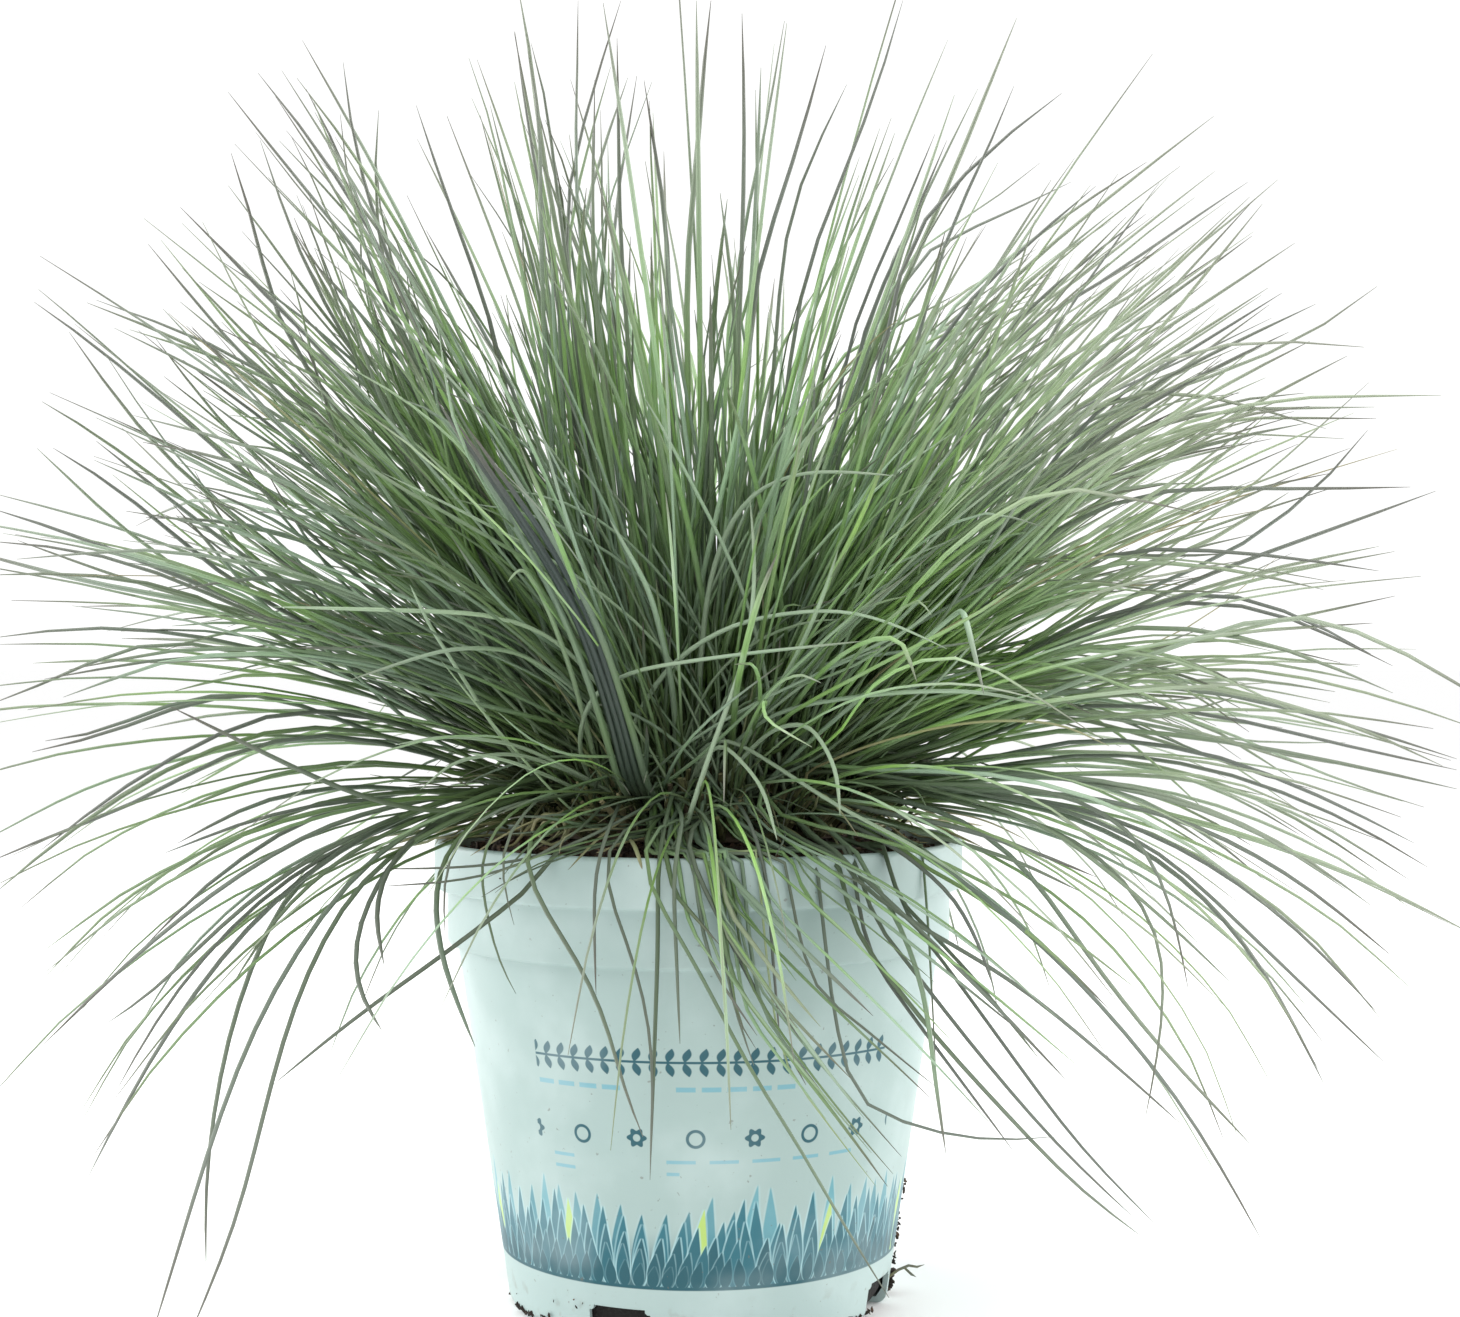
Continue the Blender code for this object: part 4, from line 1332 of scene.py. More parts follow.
def make_leaf_tree():
    """Tree that gives each midline the section of a folded leaf, and a lane of its own to bake."""
    inputs = (("Sides", "NodeSocketInt"), ("Keel", "NodeSocketFloat"),
              ("Groove", "NodeSocketFloat"), ("Lanes", "NodeSocketFloat"),
              ("Material", "NodeSocketMaterial"))
    tree, sheet, start = new_tree("folded_leaves", inputs)
    curves = sheet.add("GeometryNodeMeshToCurve", {"Mesh": start["Geometry"]}).outputs[0]
    circle = sheet.add("GeometryNodeCurvePrimitiveCircle",
                       {"Resolution": start["Sides"], "Radius": 1.0}, mode="RADIUS").outputs[0]
    x, y = sheet.parts(sheet.add("GeometryNodeInputPosition").outputs[0])[:2]
    above = sheet.both(sheet.math("MAXIMUM", y, 0.0), start["Groove"])
    below = sheet.both(sheet.math("MINIMUM", y, 0.0), start["Keel"])
    section = sheet.combine(x, sheet.math("ADD", above, below))
    folded = sheet.add("GeometryNodeSetPosition", {"Geometry": circle, "Position": section})
    index = sheet.add("GeometryNodeInputIndex").outputs[0]
    share = sheet.math("DIVIDE", index, start["Sides"])
    profile = sheet.add("GeometryNodeStoreNamedAttribute",
                        {"Geometry": folded.outputs[0], "Name": "around", "Value": share},
                        data_type="FLOAT", domain="POINT").outputs[0]
    skin = sheet.add("GeometryNodeCurveToMesh",
                     {"Curve": curves, "Profile Curve": profile,
                      "Scale": sheet.named("half_width"), "Fill Caps": True})
    inset = sheet.math("MULTIPLY_ADD", sheet.named("around"), 0.9, 0.05)
    across = sheet.math("DIVIDE", inset, start["Lanes"])
    strip = sheet.combine(sheet.math("ADD", sheet.named("lane"), across),
                          sheet.math("MULTIPLY_ADD", sheet.named("along"), 0.98, 0.01))
    mapped = sheet.add("GeometryNodeStoreNamedAttribute",
                       {"Geometry": skin.outputs[0], "Name": "OFBake", "Value": strip},
                       data_type="FLOAT2", domain="CORNER").outputs[0]
    rounded = sheet.add("GeometryNodeSetShadeSmooth", {"Geometry": mapped}).outputs[0]
    finish_tree(sheet, rounded, start["Material"])
    return tree


def make_leaf_finish(leaf):
    """Waxy leaf: blue grey to grey green, olive at the sheath, dry at the tip, straw if withered.

    A leaf's tone sets its own colour. Its slate is 0 for a green leaf, near 1 for a dark grey one
    and below 0 for a light one.
    """
    finish = Finish("fescue_leaf")
    share = finish.attribute("along")
    tone = finish.attribute("tone")
    slate = finish.math("MAXIMUM", finish.attribute("slate"), 0.0)
    light = finish.math("MAXIMUM", finish.both(finish.attribute("slate"), -0.75), 0.0)
    patch = finish.noise(55.0, 3.0)
    side = finish.parts(finish.place())[0]
    heart = finish.vector("DISTANCE", finish.place(), CLUMP_HEART)

    # The leaf's own colour and brightness, with painted highlights and painted light through the
    # blades
    colour = finish.mix(finish.ease(tone, 0.2, 0.85), leaf.green, leaf.bloom)
    # Yellow green of fresh leaves, which also stands in for painted light shining through the
    # blades
    fresh_and_backlit = finish.both(finish.ease(finish.hash(tone), 0.75, 1.0), 0.45)
    # Painted highlight: light grey green patches where the leaves catch the light
    painted_highlight = finish.both(finish.ease(patch, 0.45, 0.75), 0.45)
    lush = finish.both(finish.ease(finish.noise(15.0, 2.0), 0.48, 0.6), 0.75)
    middle = finish.both(finish.ease(share, 0.1, 0.3), finish.ease(share, 0.8, 0.5))
    value = finish.math("MULTIPLY_ADD", finish.hash(finish.math("ADD", tone, 0.25)), 1.85, 0.56)
    for mask, other in ((fresh_and_backlit, FRESH_AND_BACKLIT_GREEN), (painted_highlight, HIGHLIGHT_GREEN),
                        (finish.both(lush, middle), LUSH_GREEN)):
        colour = finish.mix(mask, colour, other)
    colour = finish.mix(1.0, colour, finish.combine(value, value, value), "MULTIPLY")

    # What its kind, its place in the clump and the place along it add, each over the last
    # Painted backlight: the outer leaves turn grey toward their tips
    backlit_fade = finish.both(finish.ease(heart, 0.09, 0.20), finish.ease(share, 0.3, 0.75))
    grey = finish.both(finish.ease(slate, 0.3, 0.6), finish.ease(slate, 0.95, 0.9))
    # Painted light: leaves on the right of the clump are made lighter
    right = finish.both(finish.ease(side, 0.02, 0.11), finish.ease(heart, 0.06, 0.13))
    left = finish.both(finish.ease(side, 0.02, -0.08), finish.ease(heart, 0.19, 0.08))
    old_tip = finish.hash(finish.math("ADD", tone, 0.5))
    for mask, other in (
            (finish.both(slate, 0.85), leaf.slate),
            (finish.ease(slate, 0.9, 1.0), BUNDLE_BLUE),
            (finish.both(backlit_fade, 0.72), BACKLIT_GREY),
            (finish.both(grey, finish.ease(share, 0.25, 0.7), 0.62), FADED_GREY),
            (finish.both(right, finish.minus(1.0, grey), 0.56), RIGHT_LIGHT_GREEN),
            (finish.both(left, 0.56), SHADE_GREEN),
            (finish.both(finish.ease(share, 0.3, 0.04), 0.85), leaf.olive),
            # Painted shade: the leaves darken toward the middle of the clump
            (finish.both(finish.ease(heart, 0.13, 0.03), 0.72), HEART_SHADE_GREEN),
            (finish.both(finish.ease(share, 0.8, 1.0), old_tip), leaf.tip),
            (finish.attribute("wither"), leaf.straw),
            (light, LIGHT_GREEN)):
        colour = finish.mix(mask, colour, other)
    ridge = finish.math("SINE", finish.both(finish.attribute("around"), 12.0 * math.pi))
    finish.relief(ridge, 0.00005, 0.3)
    gloss = finish.math("MULTIPLY_ADD", patch, 0.25, 0.4)
    return finish.set(base_color=colour, roughness=gloss)


def arch(root, shoulder, tip, count=9):
    """Path of a leaf that leaves its root, passes below its shoulder and ends at its tip."""
    path = []
    for step in range(count):
        share = step / (count - 1)
        path.append(root * (1.0 - share) ** 2 + shoulder * 2.0 * share * (1.0 - share)
                    + tip * share ** 2)
    return path


def random_direction(rng):
    """Vector of any heading and length."""
    return Vector((rng.gauss(0.0, 1.0), rng.gauss(0.0, 1.0), rng.gauss(0.0, 1.0)))


def random_turn(rng, turn_deg):
    """Small turn about an axis in any direction."""
    axis = random_direction(rng).normalized()
    return Quaternion(axis, math.radians(rng.gauss(0.0, turn_deg)))


def crown_root(azimuth, radius, depth):
    """Point just below the crown's surface, at an angle and a distance from the axis."""
    root = level(azimuth) * radius
    root.z = crown_height(root.length) - depth
    return root


def seen(pixel, depth, stage):
    """Place that shows at a pixel of the photograph when it lies at this depth."""
    reach = (stage.distance + depth) / PHOTO_FOCAL
    return Vector((stage.aside + (pixel[0] - PHOTO_MIDDLE[0]) * reach, depth,
                   stage.eye_height - (pixel[1] - PHOTO_MIDDLE[1]) * reach))


def in_gap(path, stage):
    """Whether a leaf crosses a place at which the photograph shows gaps between the leaves."""
    for place in path[len(path) // 3:]:
        reach = (stage.distance + place.y) / PHOTO_FOCAL
        across = PHOTO_MIDDLE[0] + (place.x - stage.aside) / reach
        down = PHOTO_MIDDLE[1] + (stage.eye_height - place.z) / reach
        for middle_x, middle_y, half_width, half_height in GAPS:
            if math.hypot((across - middle_x) / half_width, (down - middle_y) / half_height) < 1.0:
                return True
    return False


def company(pixels):
    """Number of leaves that stand beside a seen leaf, by the place of its tip."""
    for left, right, top, bottom, count in COMPANIONS:
        if left <= pixels[0][0] < right and top <= pixels[0][1] < bottom:
            return count
    return FEW_COMPANIONS


def beside(path, rng):
    """A shorter leaf that keeps a seen leaf company."""
    root = path[0]
    turn = random_turn(rng, COMPANION_TURN_DEG)
    size = rng.uniform(*COMPANION_SIZES)
    shift = Vector((rng.gauss(0.0, 0.006), rng.gauss(0.0, 0.006), 0.0))
    depth = Vector((0.0, rng.gauss(0.012, COMPANION_DEPTH), 0.0))
    placed = []
    for number, place in enumerate(path):
        share = number / (len(path) - 1)
        placed.append(root + shift + turn @ (place - root) * size + depth * (share * size))
    return waver(placed, rng, LEAF_WAVER)


def seen_leaf(pixels, depths, rng, stage, rise=0.0, scatter=0.0, rounds=4):
    """Path from a root on the crown through the points at which the photograph shows a leaf."""
    inner, outer = (depth * MILLIMETRE for depth in depths)
    inward = []
    for number, pixel in enumerate(pixels):
        share = number / (len(pixels) - 1)
        inward.append(seen(pixel, outer + (inner - outer) * share, stage))
    out = Vector((inward[-1].x, inward[-1].y, 0.0))
    root = out.normalized() * min(0.5 * out.length, rng.uniform(0.012, 0.03))
    root.x += rng.gauss(0.0, scatter)
    root.y += abs(rng.gauss(0.0, scatter))
    root.z = crown_height(root.length) - SUNK
    start = [root]
    if rise > 0.0:
        start.append(root.lerp(inward[-1], 0.55) + UP * rise)
    return soften(spaced(start + inward[::-1], 26), rounds)


def finish_leaves(piece_name, tuft, context, *nodes):
    piece = add_piece(piece_name, tuft.guides(piece_name))
    tree = bpy.data.node_groups.get("folded_leaves") or make_leaf_tree()
    leaf = context.scene.fescue_leaf
    material = bpy.data.materials.get("fescue_leaf") or make_leaf_finish(leaf)
    values = {"Sides": PROFILE_SIDES, "Keel": KEEL, "Groove": GROOVE,
              "Lanes": float(len(tuft.leaves)), "Material": material}
    apply_tree(piece, tree, values)
    face_outward(piece.data)
    declare(piece, "leaf", *nodes)


def waver(path, rng, amount):
    """Let a leaf stray from its smooth arch in a slow wave of its own."""
    length = (path[-1] - path[0]).length
    heading = (path[-1] - path[0]).normalized()
    side = heading.cross(random_direction(rng)).normalized()
    pitch = rng.uniform(0.5, 1.1)
    size = rng.gauss(0.0, amount) * length
    strayed = []
    for number, place in enumerate(path):
        share = number / (len(path) - 1)
        wave = size * math.sin(FULL_TURN * pitch * share) * min(1.0, 3.0 * share)
        strayed.append(place + side * wave)
    return strayed


def tuft_leaf(rng, midlines, wildness):
    """A further leaf of a tuft, between two of the solid leaves or a little beside them."""
    first, second = rng.sample(midlines, 2)
    weight = rng.uniform(-OVERREACH, 1.0 + OVERREACH)
    path = [a.lerp(b, weight) for a, b in zip(first, second)]
    root = path[0].copy()
    wild = rng.random() < wildness
    turn = random_turn(rng, WILD_TURN_DEG if wild else LEAF_TURN_DEG)
    short = wild or rng.random() < SHORT_SHARE
    height = path[-1].z
    longest = 0.9 if height < 0.15 else 1.03 - 0.16 * clamped((height - 0.24) / 0.05)
    size = rng.uniform(*SHORT_SIZES) if short else rng.uniform(LEAST_SIZE, longest)
    lowness = clamped((0.26 - height) / 0.12)
    droop = rng.gauss(0.02 + 0.06 * lowness, 0.08 + 0.07 * lowness)
    side = (path[-1] - root).cross(UP).normalized()
    sweep = side * rng.gauss(0.0, 0.09)
    shift = Vector((rng.gauss(0.0, 0.0035), rng.gauss(0.0, 0.0035), -0.0005))
    placed = []
    for number, place in enumerate(path):
        share = number / (len(path) - 1)
        arm = turn @ (place - root) * size
        bow = (sweep - UP * droop) * (share ** 2 * arm.length)
        placed.append(root + shift * (1.0 - 0.6 * share) + arm + bow)
    return waver(placed, rng, LEAF_WAVER)


def facing_front(midlines):
    """How far a tuft points at the viewer (0 to 1) and whether it points to their left."""
    mean = sum((path[-1] for path in midlines), Vector()) / len(midlines)
    flat = Vector((mean.x, mean.y)).normalized()
    low = clamped((0.28 - mean.z) / 0.07)
    return clamped((-flat.y - 0.35) / 0.45) * low, mean.x < 0.012


def fullness(midlines):
    """Share of the full number of leaves: most at a slant to the sides, few where they lie low."""
    mean = sum((path[-1] - path[0] for path in midlines), Vector()) / len(midlines)
    slant = math.degrees(math.asin(mean.z / mean.length))
    sideways = (mean.x / math.hypot(mean.x, mean.y)) ** 2
    share = FULLNESS[-1][1]
    for (low, before), (high, after) in zip(FULLNESS, FULLNESS[1:]):
        if low <= slant <= high:
            share = before + (after - before) * (slant - low) / (high - low)
    if slant > 15.0:
        share *= 0.5 + (1.0 if mean.x > 0.0 else 0.7) * sideways
    return share


class FESCUE_OT_leaves(bpy.types.Operator):
    """Grow a tuft of fine leaves in place of each solid tiller."""
    bl_idname = "fescue.leaves"
    bl_label = "Leaf Tufts"

    def execute(self, context):
        leaf = context.scene.fescue_leaf
        stage = context.scene.fescue_stage
        for number, node in enumerate(TILLERS):
            rng = random.Random(leaf.seed * 1000 + number)
            midlines = solid_midlines(node)
            if len(midlines) < 2:
                raise RuntimeError(f"{node} shows no leaves")
            front, left = facing_front(midlines)
            shown = 1.0 - (0.92 if left else 0.85) * front
            count = round(leaf.per_tiller * shown * fullness(midlines) * rng.uniform(0.75, 1.25))
            tuft = Tuft(rng, leaf.width)
            low = 0.3 if midlines[0][-1].z < 0.13 else 0.0
            for path in midlines:
                tuft.add([path[0] - UP * 0.004] + path, scale=1.0 - 0.4 * max(front, low))
            for further in range(count - len(midlines)):
                path = tuft_leaf(rng, midlines, WILD_SHARE * (1.0 - front))
                if in_gap(path, stage):
                    continue
                dead = rng.random() < DEAD_SHARE
                root = path[0].copy()
                root.z = crown_height(math.hypot(root.x, root.y)) - SUNK
                if dead:
                    tuft.add([root] + path, scale=0.6, wither=rng.uniform(0.7, 1.0))
                else:
                    tuft.add([root] + path)
            finish_leaves(node.replace("tiller", "leaf_tuft"), tuft, context, node)
        return {"FINISHED"}


class FESCUE_OT_long_leaves(bpy.types.Operator):
    """Add the long leaves that the photograph shows one by one over and beside the clump."""
    bl_idname = "fescue.long_leaves"
    bl_label = "Long Leaves"

    def execute(self, context):
        long, rng, stage = new_tuft(context, 0)
        for pixels in UPPER_LEAVES + SIDE_LEAVES:
            depths = UPPER_DEPTHS if pixels in UPPER_LEAVES else SIDE_DEPTHS
            edge = abs(pixels[0][0] - PHOTO_MIDDLE[0]) > 520.0 or pixels[0][1] < 150
            # Leaves at the picture's edge keep clear of the box's far side
            shift = rng.uniform(-40.0, 4.0 if edge else 60.0)
            path = seen_leaf(pixels, (depths[0] + 0.4 * shift, depths[1] + shift), rng, stage)
            long.cast = rng.uniform(0.1, 0.9)
            long.slate = 0.6
            long.spread = SEEN_SPREAD
            long.add(path)
            long.slate = 0.08
            long.spread = LEAF_SPREAD
            for number in range(company(pixels)):
                other = beside(path, rng)
                if not in_gap(other, stage):
                    long.add(other)
        finish_leaves("long_leaves", long, context)
        return {"FINISHED"}


class FESCUE_OT_hanging_leaves(bpy.types.Operator):
    """Hang leaves over the rim: single ones, the bunch to the right and the fringe."""
    bl_idname = "fescue.hanging_leaves"
    bl_label = "Hanging Leaves"

    def hang_seen(self, hanging, rng, stage):
        """Leaves that the photograph shows one by one, and a few beside them."""
        for pixels in LOWER_LEAVES + FRONT_LEAVES:
            lower = pixels in LOWER_LEAVES
            inner, outer = LOWER_DEPTHS if lower else FRONT_DEPTHS
            shift = rng.uniform(-5.0, 5.0)
            hanging.cast = rng.uniform(0.1, 0.9)
            depths = (inner + shift, outer + shift)
            path = seen_leaf(pixels, depths, rng, stage, rng.uniform(0.001, 0.007), 0.015)
            hanging.slate = 0.6
            hanging.spread = SEEN_SPREAD
            scale = 0.75
            if lower:
                scale = 1.12 if path[-1].x < 0.0 else 1.0
            hanging.add(path, scale=scale, steps=RIM_LEAF_STEPS)
            hanging.slate = 0.15
            hanging.spread = LEAF_SPREAD
            for further in range(LOWER_COMPANIONS[path[-1].x > 0.0] if lower else 0):
                other = beside(path, rng)
                if not in_gap(other, stage):
                    hanging.add(other)

    def hang_bunch(self, hanging, rng, stage):
        """Leaves between the two outer ones of the bunch, of uneven length."""
        for further in range(BUNCH_COUNT):
            share = rng.uniform(0.0, 1.0) ** 1.35
            length = rng.uniform(0.56, 1.0)
            drift = (rng.gauss(0.0, BUNCH_DRIFT), rng.gauss(0.0, BUNCH_DRIFT))
            pixels = []
            for place, (a, b) in enumerate(zip(*BUNCH)):
                free = 1.0 - place / 5.0
                pixels.append([a[axis] + (b[axis] - a[axis]) * share + drift[axis] * free
                               for axis in (0, 1)])
            depths = (BUNCH_DEPTH, rng.uniform(*BUNCH_TIP_DEPTHS))
            path = seen_leaf(pixels, depths, rng, stage, rng.uniform(0.002, 0.013), 0.014)
            path = waver(path, rng, 0.5 * LEAF_WAVER)
            hanging.cast = rng.uniform(0.2, 1.1)
            pale = rng.uniform(0.2, 0.6) if rng.random() < 0.35 - share else 0.0
            cut = path[:max(6, round(length * len(path)))]
            if in_gap(cut, stage) and rng.random() < 0.6:
                continue
            hanging.add(cut, scale=rng.uniform(0.9, 1.2), wither=pale)

    def hang_fringe(self, hanging, rng, stage):
        """Short leaves that part before the crown and lie over the rim to both sides."""
        for further in range(FRINGE_COUNT):
            way = 1.0 if rng.random() < 0.3 else -1.0
            across, ahead, height = FRINGE_ROOTS
            points = [Vector((rng.uniform(*across), rng.uniform(*ahead), height))]
            for across, ahead, heights in (FRINGE_SHOULDERS, FRINGE_TIPS):
                points.append(Vector((way * rng.uniform(*across), rng.uniform(*ahead),
                                      rng.uniform(*heights))))
            hanging.cast = rng.uniform(0.0, 0.8)
            path = waver(arch(*(point * MILLIMETRE for point in points)), rng, LEAF_WAVER)
            if not in_gap(path, stage):
                hanging.add(path, scale=0.65)

    def execute(self, context):
        hanging, rng, stage = new_tuft(context, 3)
        self.hang_seen(hanging, rng, stage)
        self.hang_bunch(hanging, rng, stage)
        self.hang_fringe(hanging, rng, stage)
        finish_leaves("hanging_leaves", hanging, context)
        return {"FINISHED"}


class FESCUE_OT_crossing_leaves(bpy.types.Operator):
    """Lay the light leaves and the blue bundle that cross in front of the clump."""
    bl_idname = "fescue.crossing_leaves"
    bl_label = "Crossing Leaves"

    def cross_seen(self, crossing, rng, stage):
        """Light leaves that the photograph shows one by one."""
        for pixels in CROSSING_LEAVES:
            shift = rng.uniform(-6.0, 6.0)
            depths = (CROSSING_DEPTHS[0], CROSSING_DEPTHS[1] + shift)
            crossing.cast = rng.uniform(0.8, 1.2)
            crossing.slate = rng.uniform(-1.0, -0.4)
            path = seen_leaf(pixels, depths, rng, stage, 0.0, 0.004)
            crossing.add(path, scale=0.9, steps=CROSSING_STEPS)
        crossing.add(seen_leaf(CLOSE_LEAF, CLOSE_DEPTHS, rng, stage), steps=CROSSING_STEPS)

    def cross_strays(self, crossing, rng, stage):
        """Further light leaves that lean to either side before the others."""
        for further in range(STRAY_COUNT):
            azimuth = rng.uniform(math.radians(-170.0), math.radians(-10.0))
            root = crown_root(azimuth, rng.uniform(*HEART_ROOT_RING), SUNK)
            tip = Vector([rng.uniform(low, high) * MILLIMETRE for low, high in STRAY_TIPS])
            tip.x = root.x + rng.choice((-1.0, 1.0)) * tip.x
            shoulder = root.lerp(tip, 0.45)
            shoulder.z = tip.z - rng.uniform(-0.004, 0.035)
            path = waver(arch(root, shoulder, tip), rng, LEAF_WAVER)
            crossing.cast = rng.uniform(0.5, 1.1)
            crossing.slate = rng.uniform(-0.7, 0.1)
            if not in_gap(path, stage):
                crossing.add(path, scale=rng.uniform(0.6, 0.8))

    def execute(self, context):
        crossing, rng, stage = new_tuft(context, 4)
        crossing.spread = SEEN_SPREAD
        self.cross_seen(crossing, rng, stage)
        self.cross_strays(crossing, rng, stage)
        snapped = seen_leaf(SNAPPED_LEAF, SNAPPED_DEPTHS, rng, stage, 0.0, 0.004, 1)
        crossing.add(snapped, scale=1.1, steps=2 * CROSSING_STEPS)
        for number, pixels in enumerate(BLUE_LEAVES):
            crossing.cast = 1.0
            crossing.slate = 0.35 if number in (0, 4) else 1.0
            depths = (BLUE_DEPTHS[0], BLUE_DEPTHS[1] + BLUE_STEP * number)
            path = seen_leaf(pixels, depths, rng, stage)
            crossing.add(path, scale=1.2, steps=CROSSING_STEPS)
        finish_leaves("crossing_leaves", crossing, context)
        return {"FINISHED"}


class FESCUE_OT_low_leaves(bpy.types.Operator):
    """Add the short leaves that lie criss-cross round the crown and over the rim."""
    bl_idname = "fescue.low_leaves"
    bl_label = "Low Leaves"

    def execute(self, context):
        low, rng, stage = new_tuft(context, 2)
        for number in range(LOW_LEAF_COUNT):
            azimuth = rng.uniform(0.0, FULL_TURN)
            root = crown_root(azimuth, rng.uniform(*LOW_ROOT_RING), SHALLOW)
            swing = Quaternion(UP, rng.gauss(0.0, 1.1)) @ level(azimuth)
            tip = root + swing * rng.uniform(0.02, 0.055)
            tip.z = rng.uniform(0.112, 0.131)
            shoulder = root.lerp(tip, 0.5) + UP * rng.uniform(0.002, 0.017)
            low.cast = rng.uniform(0.0, 0.8)
            low.slate = 0.45
            path = waver(arch(root, shoulder, tip), rng, 2.0 * LEAF_WAVER)
            if not in_gap(path, stage):
                low.add(path, scale=0.6, wither=0.5 if rng.random() < 0.1 else 0.0)
        finish_leaves("low_leaves", low, context)
        return {"FINISHED"}


def curl(root, swing, size, turns):
    """Path of a dry leaf that rolls up on itself, close above the mix."""
    path = []
    for step in range(20):
        share = step / 19.0
        angle = FULL_TURN * turns * share
        radius = size * (1.0 - 0.6 * share)
        offset = swing * (size - radius * math.cos(angle)) + UP * (radius * math.sin(angle))
        path.append(root + offset + swing.cross(UP) * (0.5 * size * share))
    return path


class FESCUE_OT_heart_leaves(bpy.types.Operator):
    """Stand thin upright young leaves close together on the front of the crown."""
    bl_idname = "fescue.heart_leaves"
    bl_label = "Heart Leaves"

    def execute(self, context):
        heart, rng = new_tuft(context, 5)[:2]
        for number in range(HEART_COUNT):
            azimuth = rng.uniform(math.radians(-190.0), math.radians(10.0))
            root = crown_root(azimuth, rng.uniform(*HEART_ROOT_RING), SUNK)
            lean = Vector((root.x * rng.uniform(0.1, 1.1) + rng.gauss(0.0, 0.007),
                           root.y * rng.uniform(0.0, 0.5) + rng.gauss(0.0, 0.006), 0.0))
            tip = root + lean + UP * rng.uniform(0.022, 0.07)
            shoulder = root.lerp(tip, 0.5) - lean * 0.3
            heart.cast = rng.uniform(0.0, 0.7)
            path = waver(arch(root, shoulder, tip), rng, LEAF_WAVER)
            heart.add(path, scale=rng.uniform(0.6, 0.95),
                      wither=0.4 if rng.random() < 0.08 else 0.0)
        finish_leaves("heart_leaves", heart, context)
        return {"FINISHED"}


class FESCUE_OT_withered_leaves(bpy.types.Operator):
    """Strew withered and curled leaves round the crown."""
    bl_idname = "fescue.withered_leaves"
    bl_label = "Withered Leaves"

    def execute(self, context):
        withered, rng = new_tuft(context, 1)[:2]
        for number in range(WITHERED_COUNT + CURLED_COUNT):
            out = level(rng.uniform(0.0, FULL_TURN))
            root = out * rng.uniform(*WITHERED_ROOT_RING)
            root.z = crown_height(min(root.length, 0.042)) - SHALLOW
            swing = Quaternion(UP, rng.uniform(-1.2, 1.2)) @ out
            if number == WITHERED_COUNT:
                path = curl(Vector(FRONT_CURL) * MILLIMETRE, level(0.0), 0.0042, 1.7)
            elif number > WITHERED_COUNT:
                path = curl(root + UP * 0.004, swing, rng.uniform(0.003, 0.005),
                            rng.uniform(0.8, 1.6))
            else:
                tip = root + swing * rng.uniform(0.015, 0.05)
                tip.z = soil_height(min(math.hypot(tip.x, tip.y), 0.06)) + rng.uniform(0.001, 0.006)
                path = arch(root, root.lerp(tip, 0.4) + UP * rng.uniform(0.002, 0.014), tip, 6)
            withered.add(path, scale=0.85, wither=rng.uniform(0.35, 1.0))
        finish_leaves("withered_leaves", withered, context)
        return {"FINISHED"}


# Dirt on the pot

def make_crumb_tree():
    """Tree that puts a turned, squeezed rough crumb on every point."""
    inputs = (("Seed", "NodeSocketInt"), ("Material", "NodeSocketMaterial"))
    tree, sheet, start = new_tree("stuck_crumbs", inputs)
    place = sheet.add("GeometryNodeInputPosition").outputs[0]
    crumb = rough_ball(sheet, place, 1.0, 2, 1.6, 2.0, 1.6)
    turn = random_value(sheet, *ANY_TURN, start["Seed"])
    size = random_value(sheet, (0.0004, 0.0003, 0.0002), (0.0016, 0.0009, 0.0007), start["Seed"])
    scaled = sheet.scaled(size, sheet.named("grain"))
    points = sheet.add("GeometryNodeMeshToPoints", {"Mesh": start["Geometry"]}).outputs[0]
    shade = random_value(sheet, 0.0, 0.6, 7)
    finish_tree(sheet, placed_on(sheet, points, crumb, turn, scaled, shade), start["Material"])
    return tree


class FESCUE_OT_dirt(bpy.types.Operator):
    """Stick crumbs of mix and a twig to the pot's foot."""
    bl_idname = "fescue.dirt"
    bl_label = "Dirt on the Pot"

    def execute(self, context):
        rng = random.Random(5)
        points = []
        grains = []
        for middle, spread, height, tall, count, size in DIRT_PATCHES:
            for number in range(count):
                angle = math.radians(rng.gauss(middle, spread))
                up = max(rng.gauss(height, tall) * MILLIMETRE, LOWEST_CRUMB)
                radius = pot_radius(up) - 0.0006 * (up < FOOT_ROUNDING) + 0.0002
                points.append((radius * math.sin(angle), -radius * math.cos(angle), up))
                grains.append(size)
        mesh = bpy.data.meshes.new("dirt")
        mesh.from_pydata(points, [], [])
        mesh.attributes.new("grain", "FLOAT", "POINT").data.foreach_set("value", grains)
        piece = add_piece("stuck_crumbs", mesh)
        values = {"Seed": 2, "Material": make_soil_finish(context.scene.fescue_soil)}
        apply_tree(piece, make_crumb_tree(), values)
        face_outward(piece.data)
        declare(piece, "soil")

        twig = Tuft(rng, TWIG_WIDTH)
        for points in TWIG:
            path = [Vector(point) * MILLIMETRE for point in points]
            # Half width, tone, slate and wither, as for a leaf
            twig.leaves.append((path, TWIG_HALF_WIDTH, 0.5, 1.0, 0.4))
        finish_leaves("stuck_twig", twig, context)
        return {"FINISHED"}


# Stage

def add_area_light(name, place, size, power):
    """White soft box aimed at the middle of the object."""
    light = bpy.data.lights.new(name, "AREA")
    light.shape = "SQUARE"
    light.size = size
    light.energy = power
    item = bpy.data.objects.new(name, light)
    item.location = place
    item.rotation_euler = (Vector(AIM) - Vector(place)).to_track_quat("-Z", "Y").to_euler()
    bpy.context.scene.collection.objects.link(item)


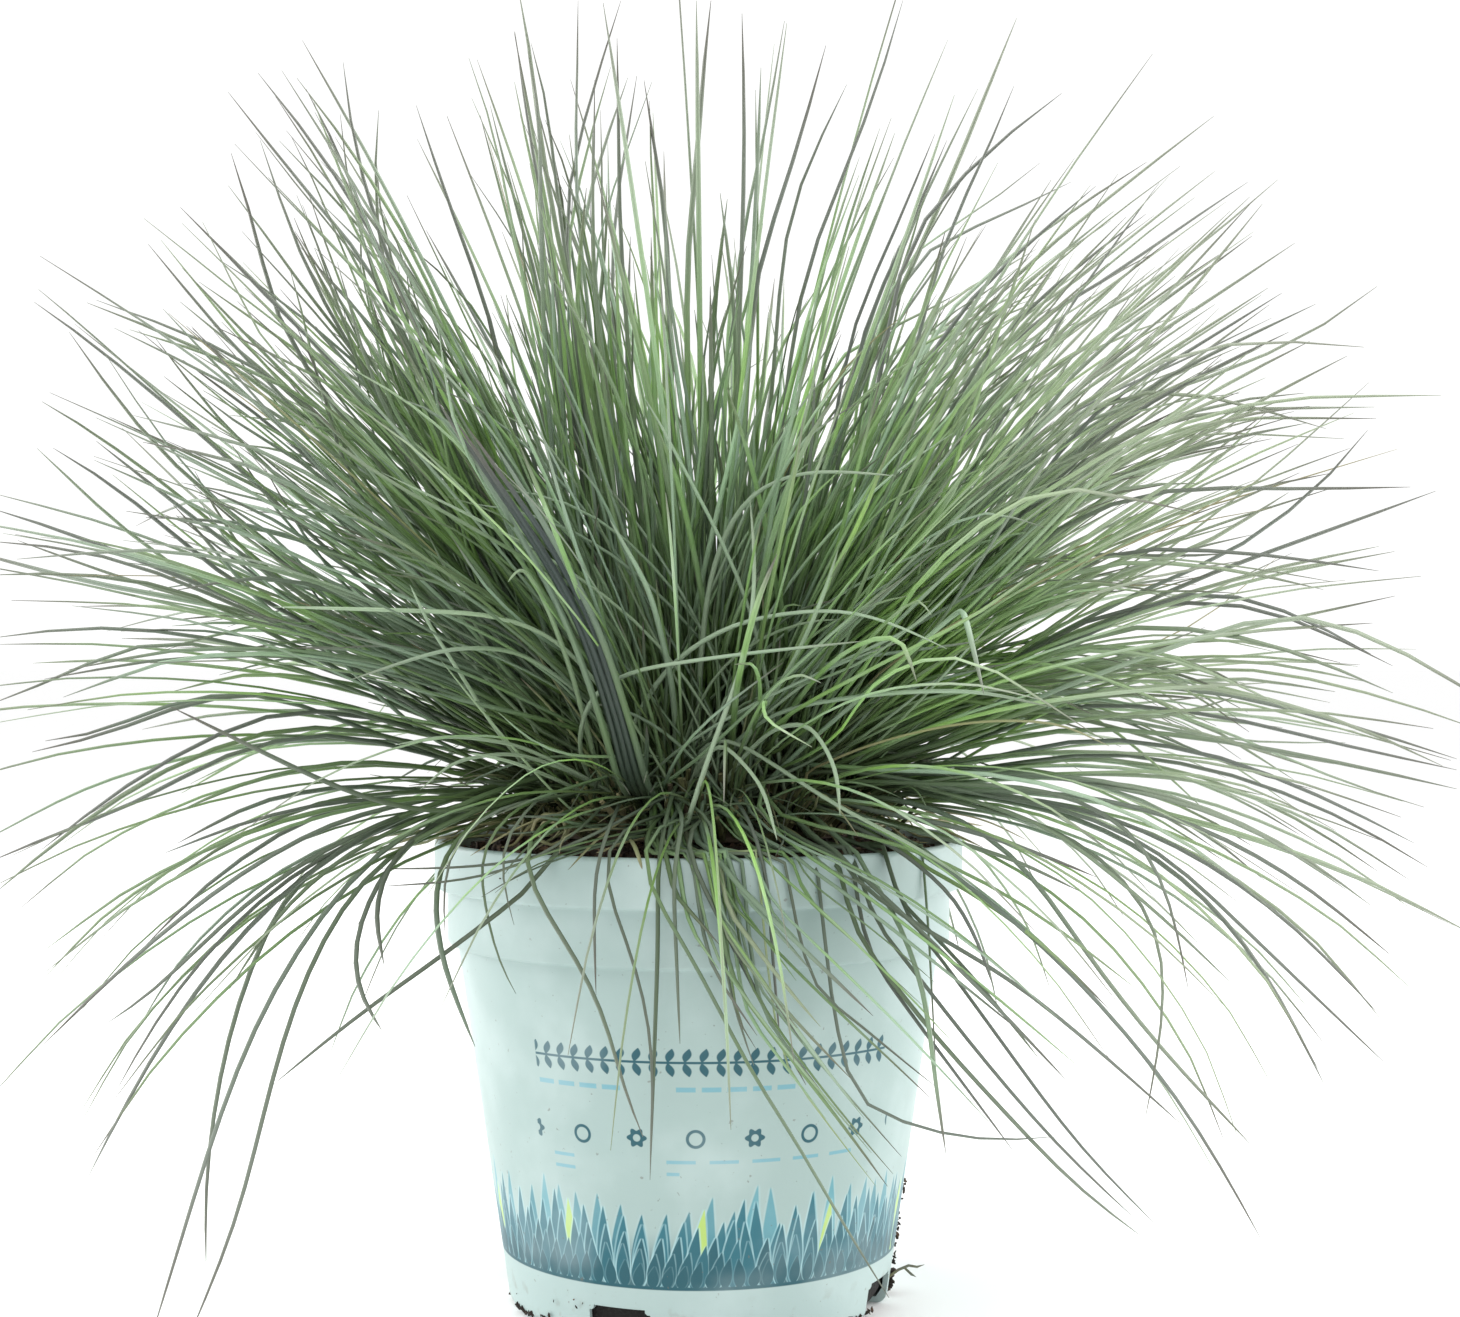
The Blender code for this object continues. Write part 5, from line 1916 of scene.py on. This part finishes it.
def make_floor_mesh():
    """Wide square at the ground."""
    mesh = bpy.data.meshes.new("floor")
    signs = ((-1, -1), (1, -1), (1, 1), (-1, 1))
    corners = [(FLOOR_HALF * x, FLOOR_HALF * y, 0.0) for x, y in signs]
    mesh.from_pydata(corners, [], [(0, 1, 2, 3)])
    return mesh


def make_surround(strength):
    """World that shines evenly white from all sides."""
    world = bpy.data.worlds.new("white_surround")
    world.use_nodes = True
    surround = world.node_tree.nodes["Background"]
    surround.inputs["Color"].default_value = (1.0, 1.0, 1.0, 1.0)
    surround.inputs["Strength"].default_value = strength
    return world


class FESCUE_OT_stage(bpy.types.Operator):
    """Set the pale floor, the soft light and the camera."""
    bl_idname = "fescue.stage"
    bl_label = "Stage"

    def execute(self, context):
        stage = context.scene.fescue_stage
        paper = Finish("pale_paper").set(base_color=PAPER, roughness=0.9)
        add_piece("floor", make_floor_mesh(), paper)

        add_area_light("top_box", (-0.2, -0.3, 1.3), 1.4, stage.key_power)
        add_area_light("left_box", (-1.2, 0.35, 0.5), 0.9, stage.side_power)
        add_area_light("right_box", (1.2, 0.35, 0.5), 0.9, stage.side_power)

        context.scene.world = make_surround(stage.sky)
        context.scene.view_settings.view_transform = "Standard"

        lens = bpy.data.cameras.new("camera")
        lens.lens = stage.focal
        lens.clip_start = 0.01
        camera = bpy.data.objects.new("camera", lens)
        camera.location = (stage.aside, -stage.distance, stage.eye_height)
        camera.rotation_euler = (math.radians(90.0), 0.0, 0.0)
        context.scene.collection.objects.link(camera)
        context.scene.camera = camera
        return {"FINISHED"}


class FESCUE_PT_panel(bpy.types.Panel):
    """Sidebar panel with the settings and the build steps."""
    bl_label = "Potted Blue Fescue"
    bl_space_type = "VIEW_3D"
    bl_region_type = "UI"
    bl_category = "Fescue"

    def draw(self, context):
        for group in GROUPS:
            settings = getattr(context.scene, group)
            for name in settings.__annotations__:
                self.layout.prop(settings, name)
        for step in STEPS:
            self.layout.operator(step.bl_idname)


GROUPS = {
    "fescue_pot": PotSettings,
    "fescue_soil": SoilSettings,
    "fescue_leaf": LeafSettings,
    "fescue_stage": StageSettings,
}
STEPS = (FESCUE_OT_pot, FESCUE_OT_soil, FESCUE_OT_crown, FESCUE_OT_leaves, FESCUE_OT_long_leaves,
         FESCUE_OT_hanging_leaves, FESCUE_OT_crossing_leaves, FESCUE_OT_low_leaves,
         FESCUE_OT_heart_leaves, FESCUE_OT_withered_leaves, FESCUE_OT_dirt, FESCUE_OT_stage)


def register():
    """Register the classes and hang the settings on the scene."""
    for item in (*GROUPS.values(), *STEPS, FESCUE_PT_panel):
        bpy.utils.register_class(item)
    for name, group in GROUPS.items():
        setattr(bpy.types.Scene, name, PointerProperty(type=group))


def unregister():
    """Undo what register did."""
    for name in GROUPS:
        delattr(bpy.types.Scene, name)
    for item in reversed((*GROUPS.values(), *STEPS, FESCUE_PT_panel)):
        bpy.utils.unregister_class(item)


def main():
    """Build every piece."""
    register()
    bpy.ops.fescue.pot()
    bpy.ops.fescue.soil()
    bpy.ops.fescue.crown()
    bpy.ops.fescue.leaves()
    bpy.ops.fescue.long_leaves()
    bpy.ops.fescue.hanging_leaves()
    bpy.ops.fescue.crossing_leaves()
    bpy.ops.fescue.low_leaves()
    bpy.ops.fescue.heart_leaves()
    bpy.ops.fescue.withered_leaves()
    bpy.ops.fescue.dirt()
    bpy.ops.fescue.stage()


if __name__ == "__main__":
    main()
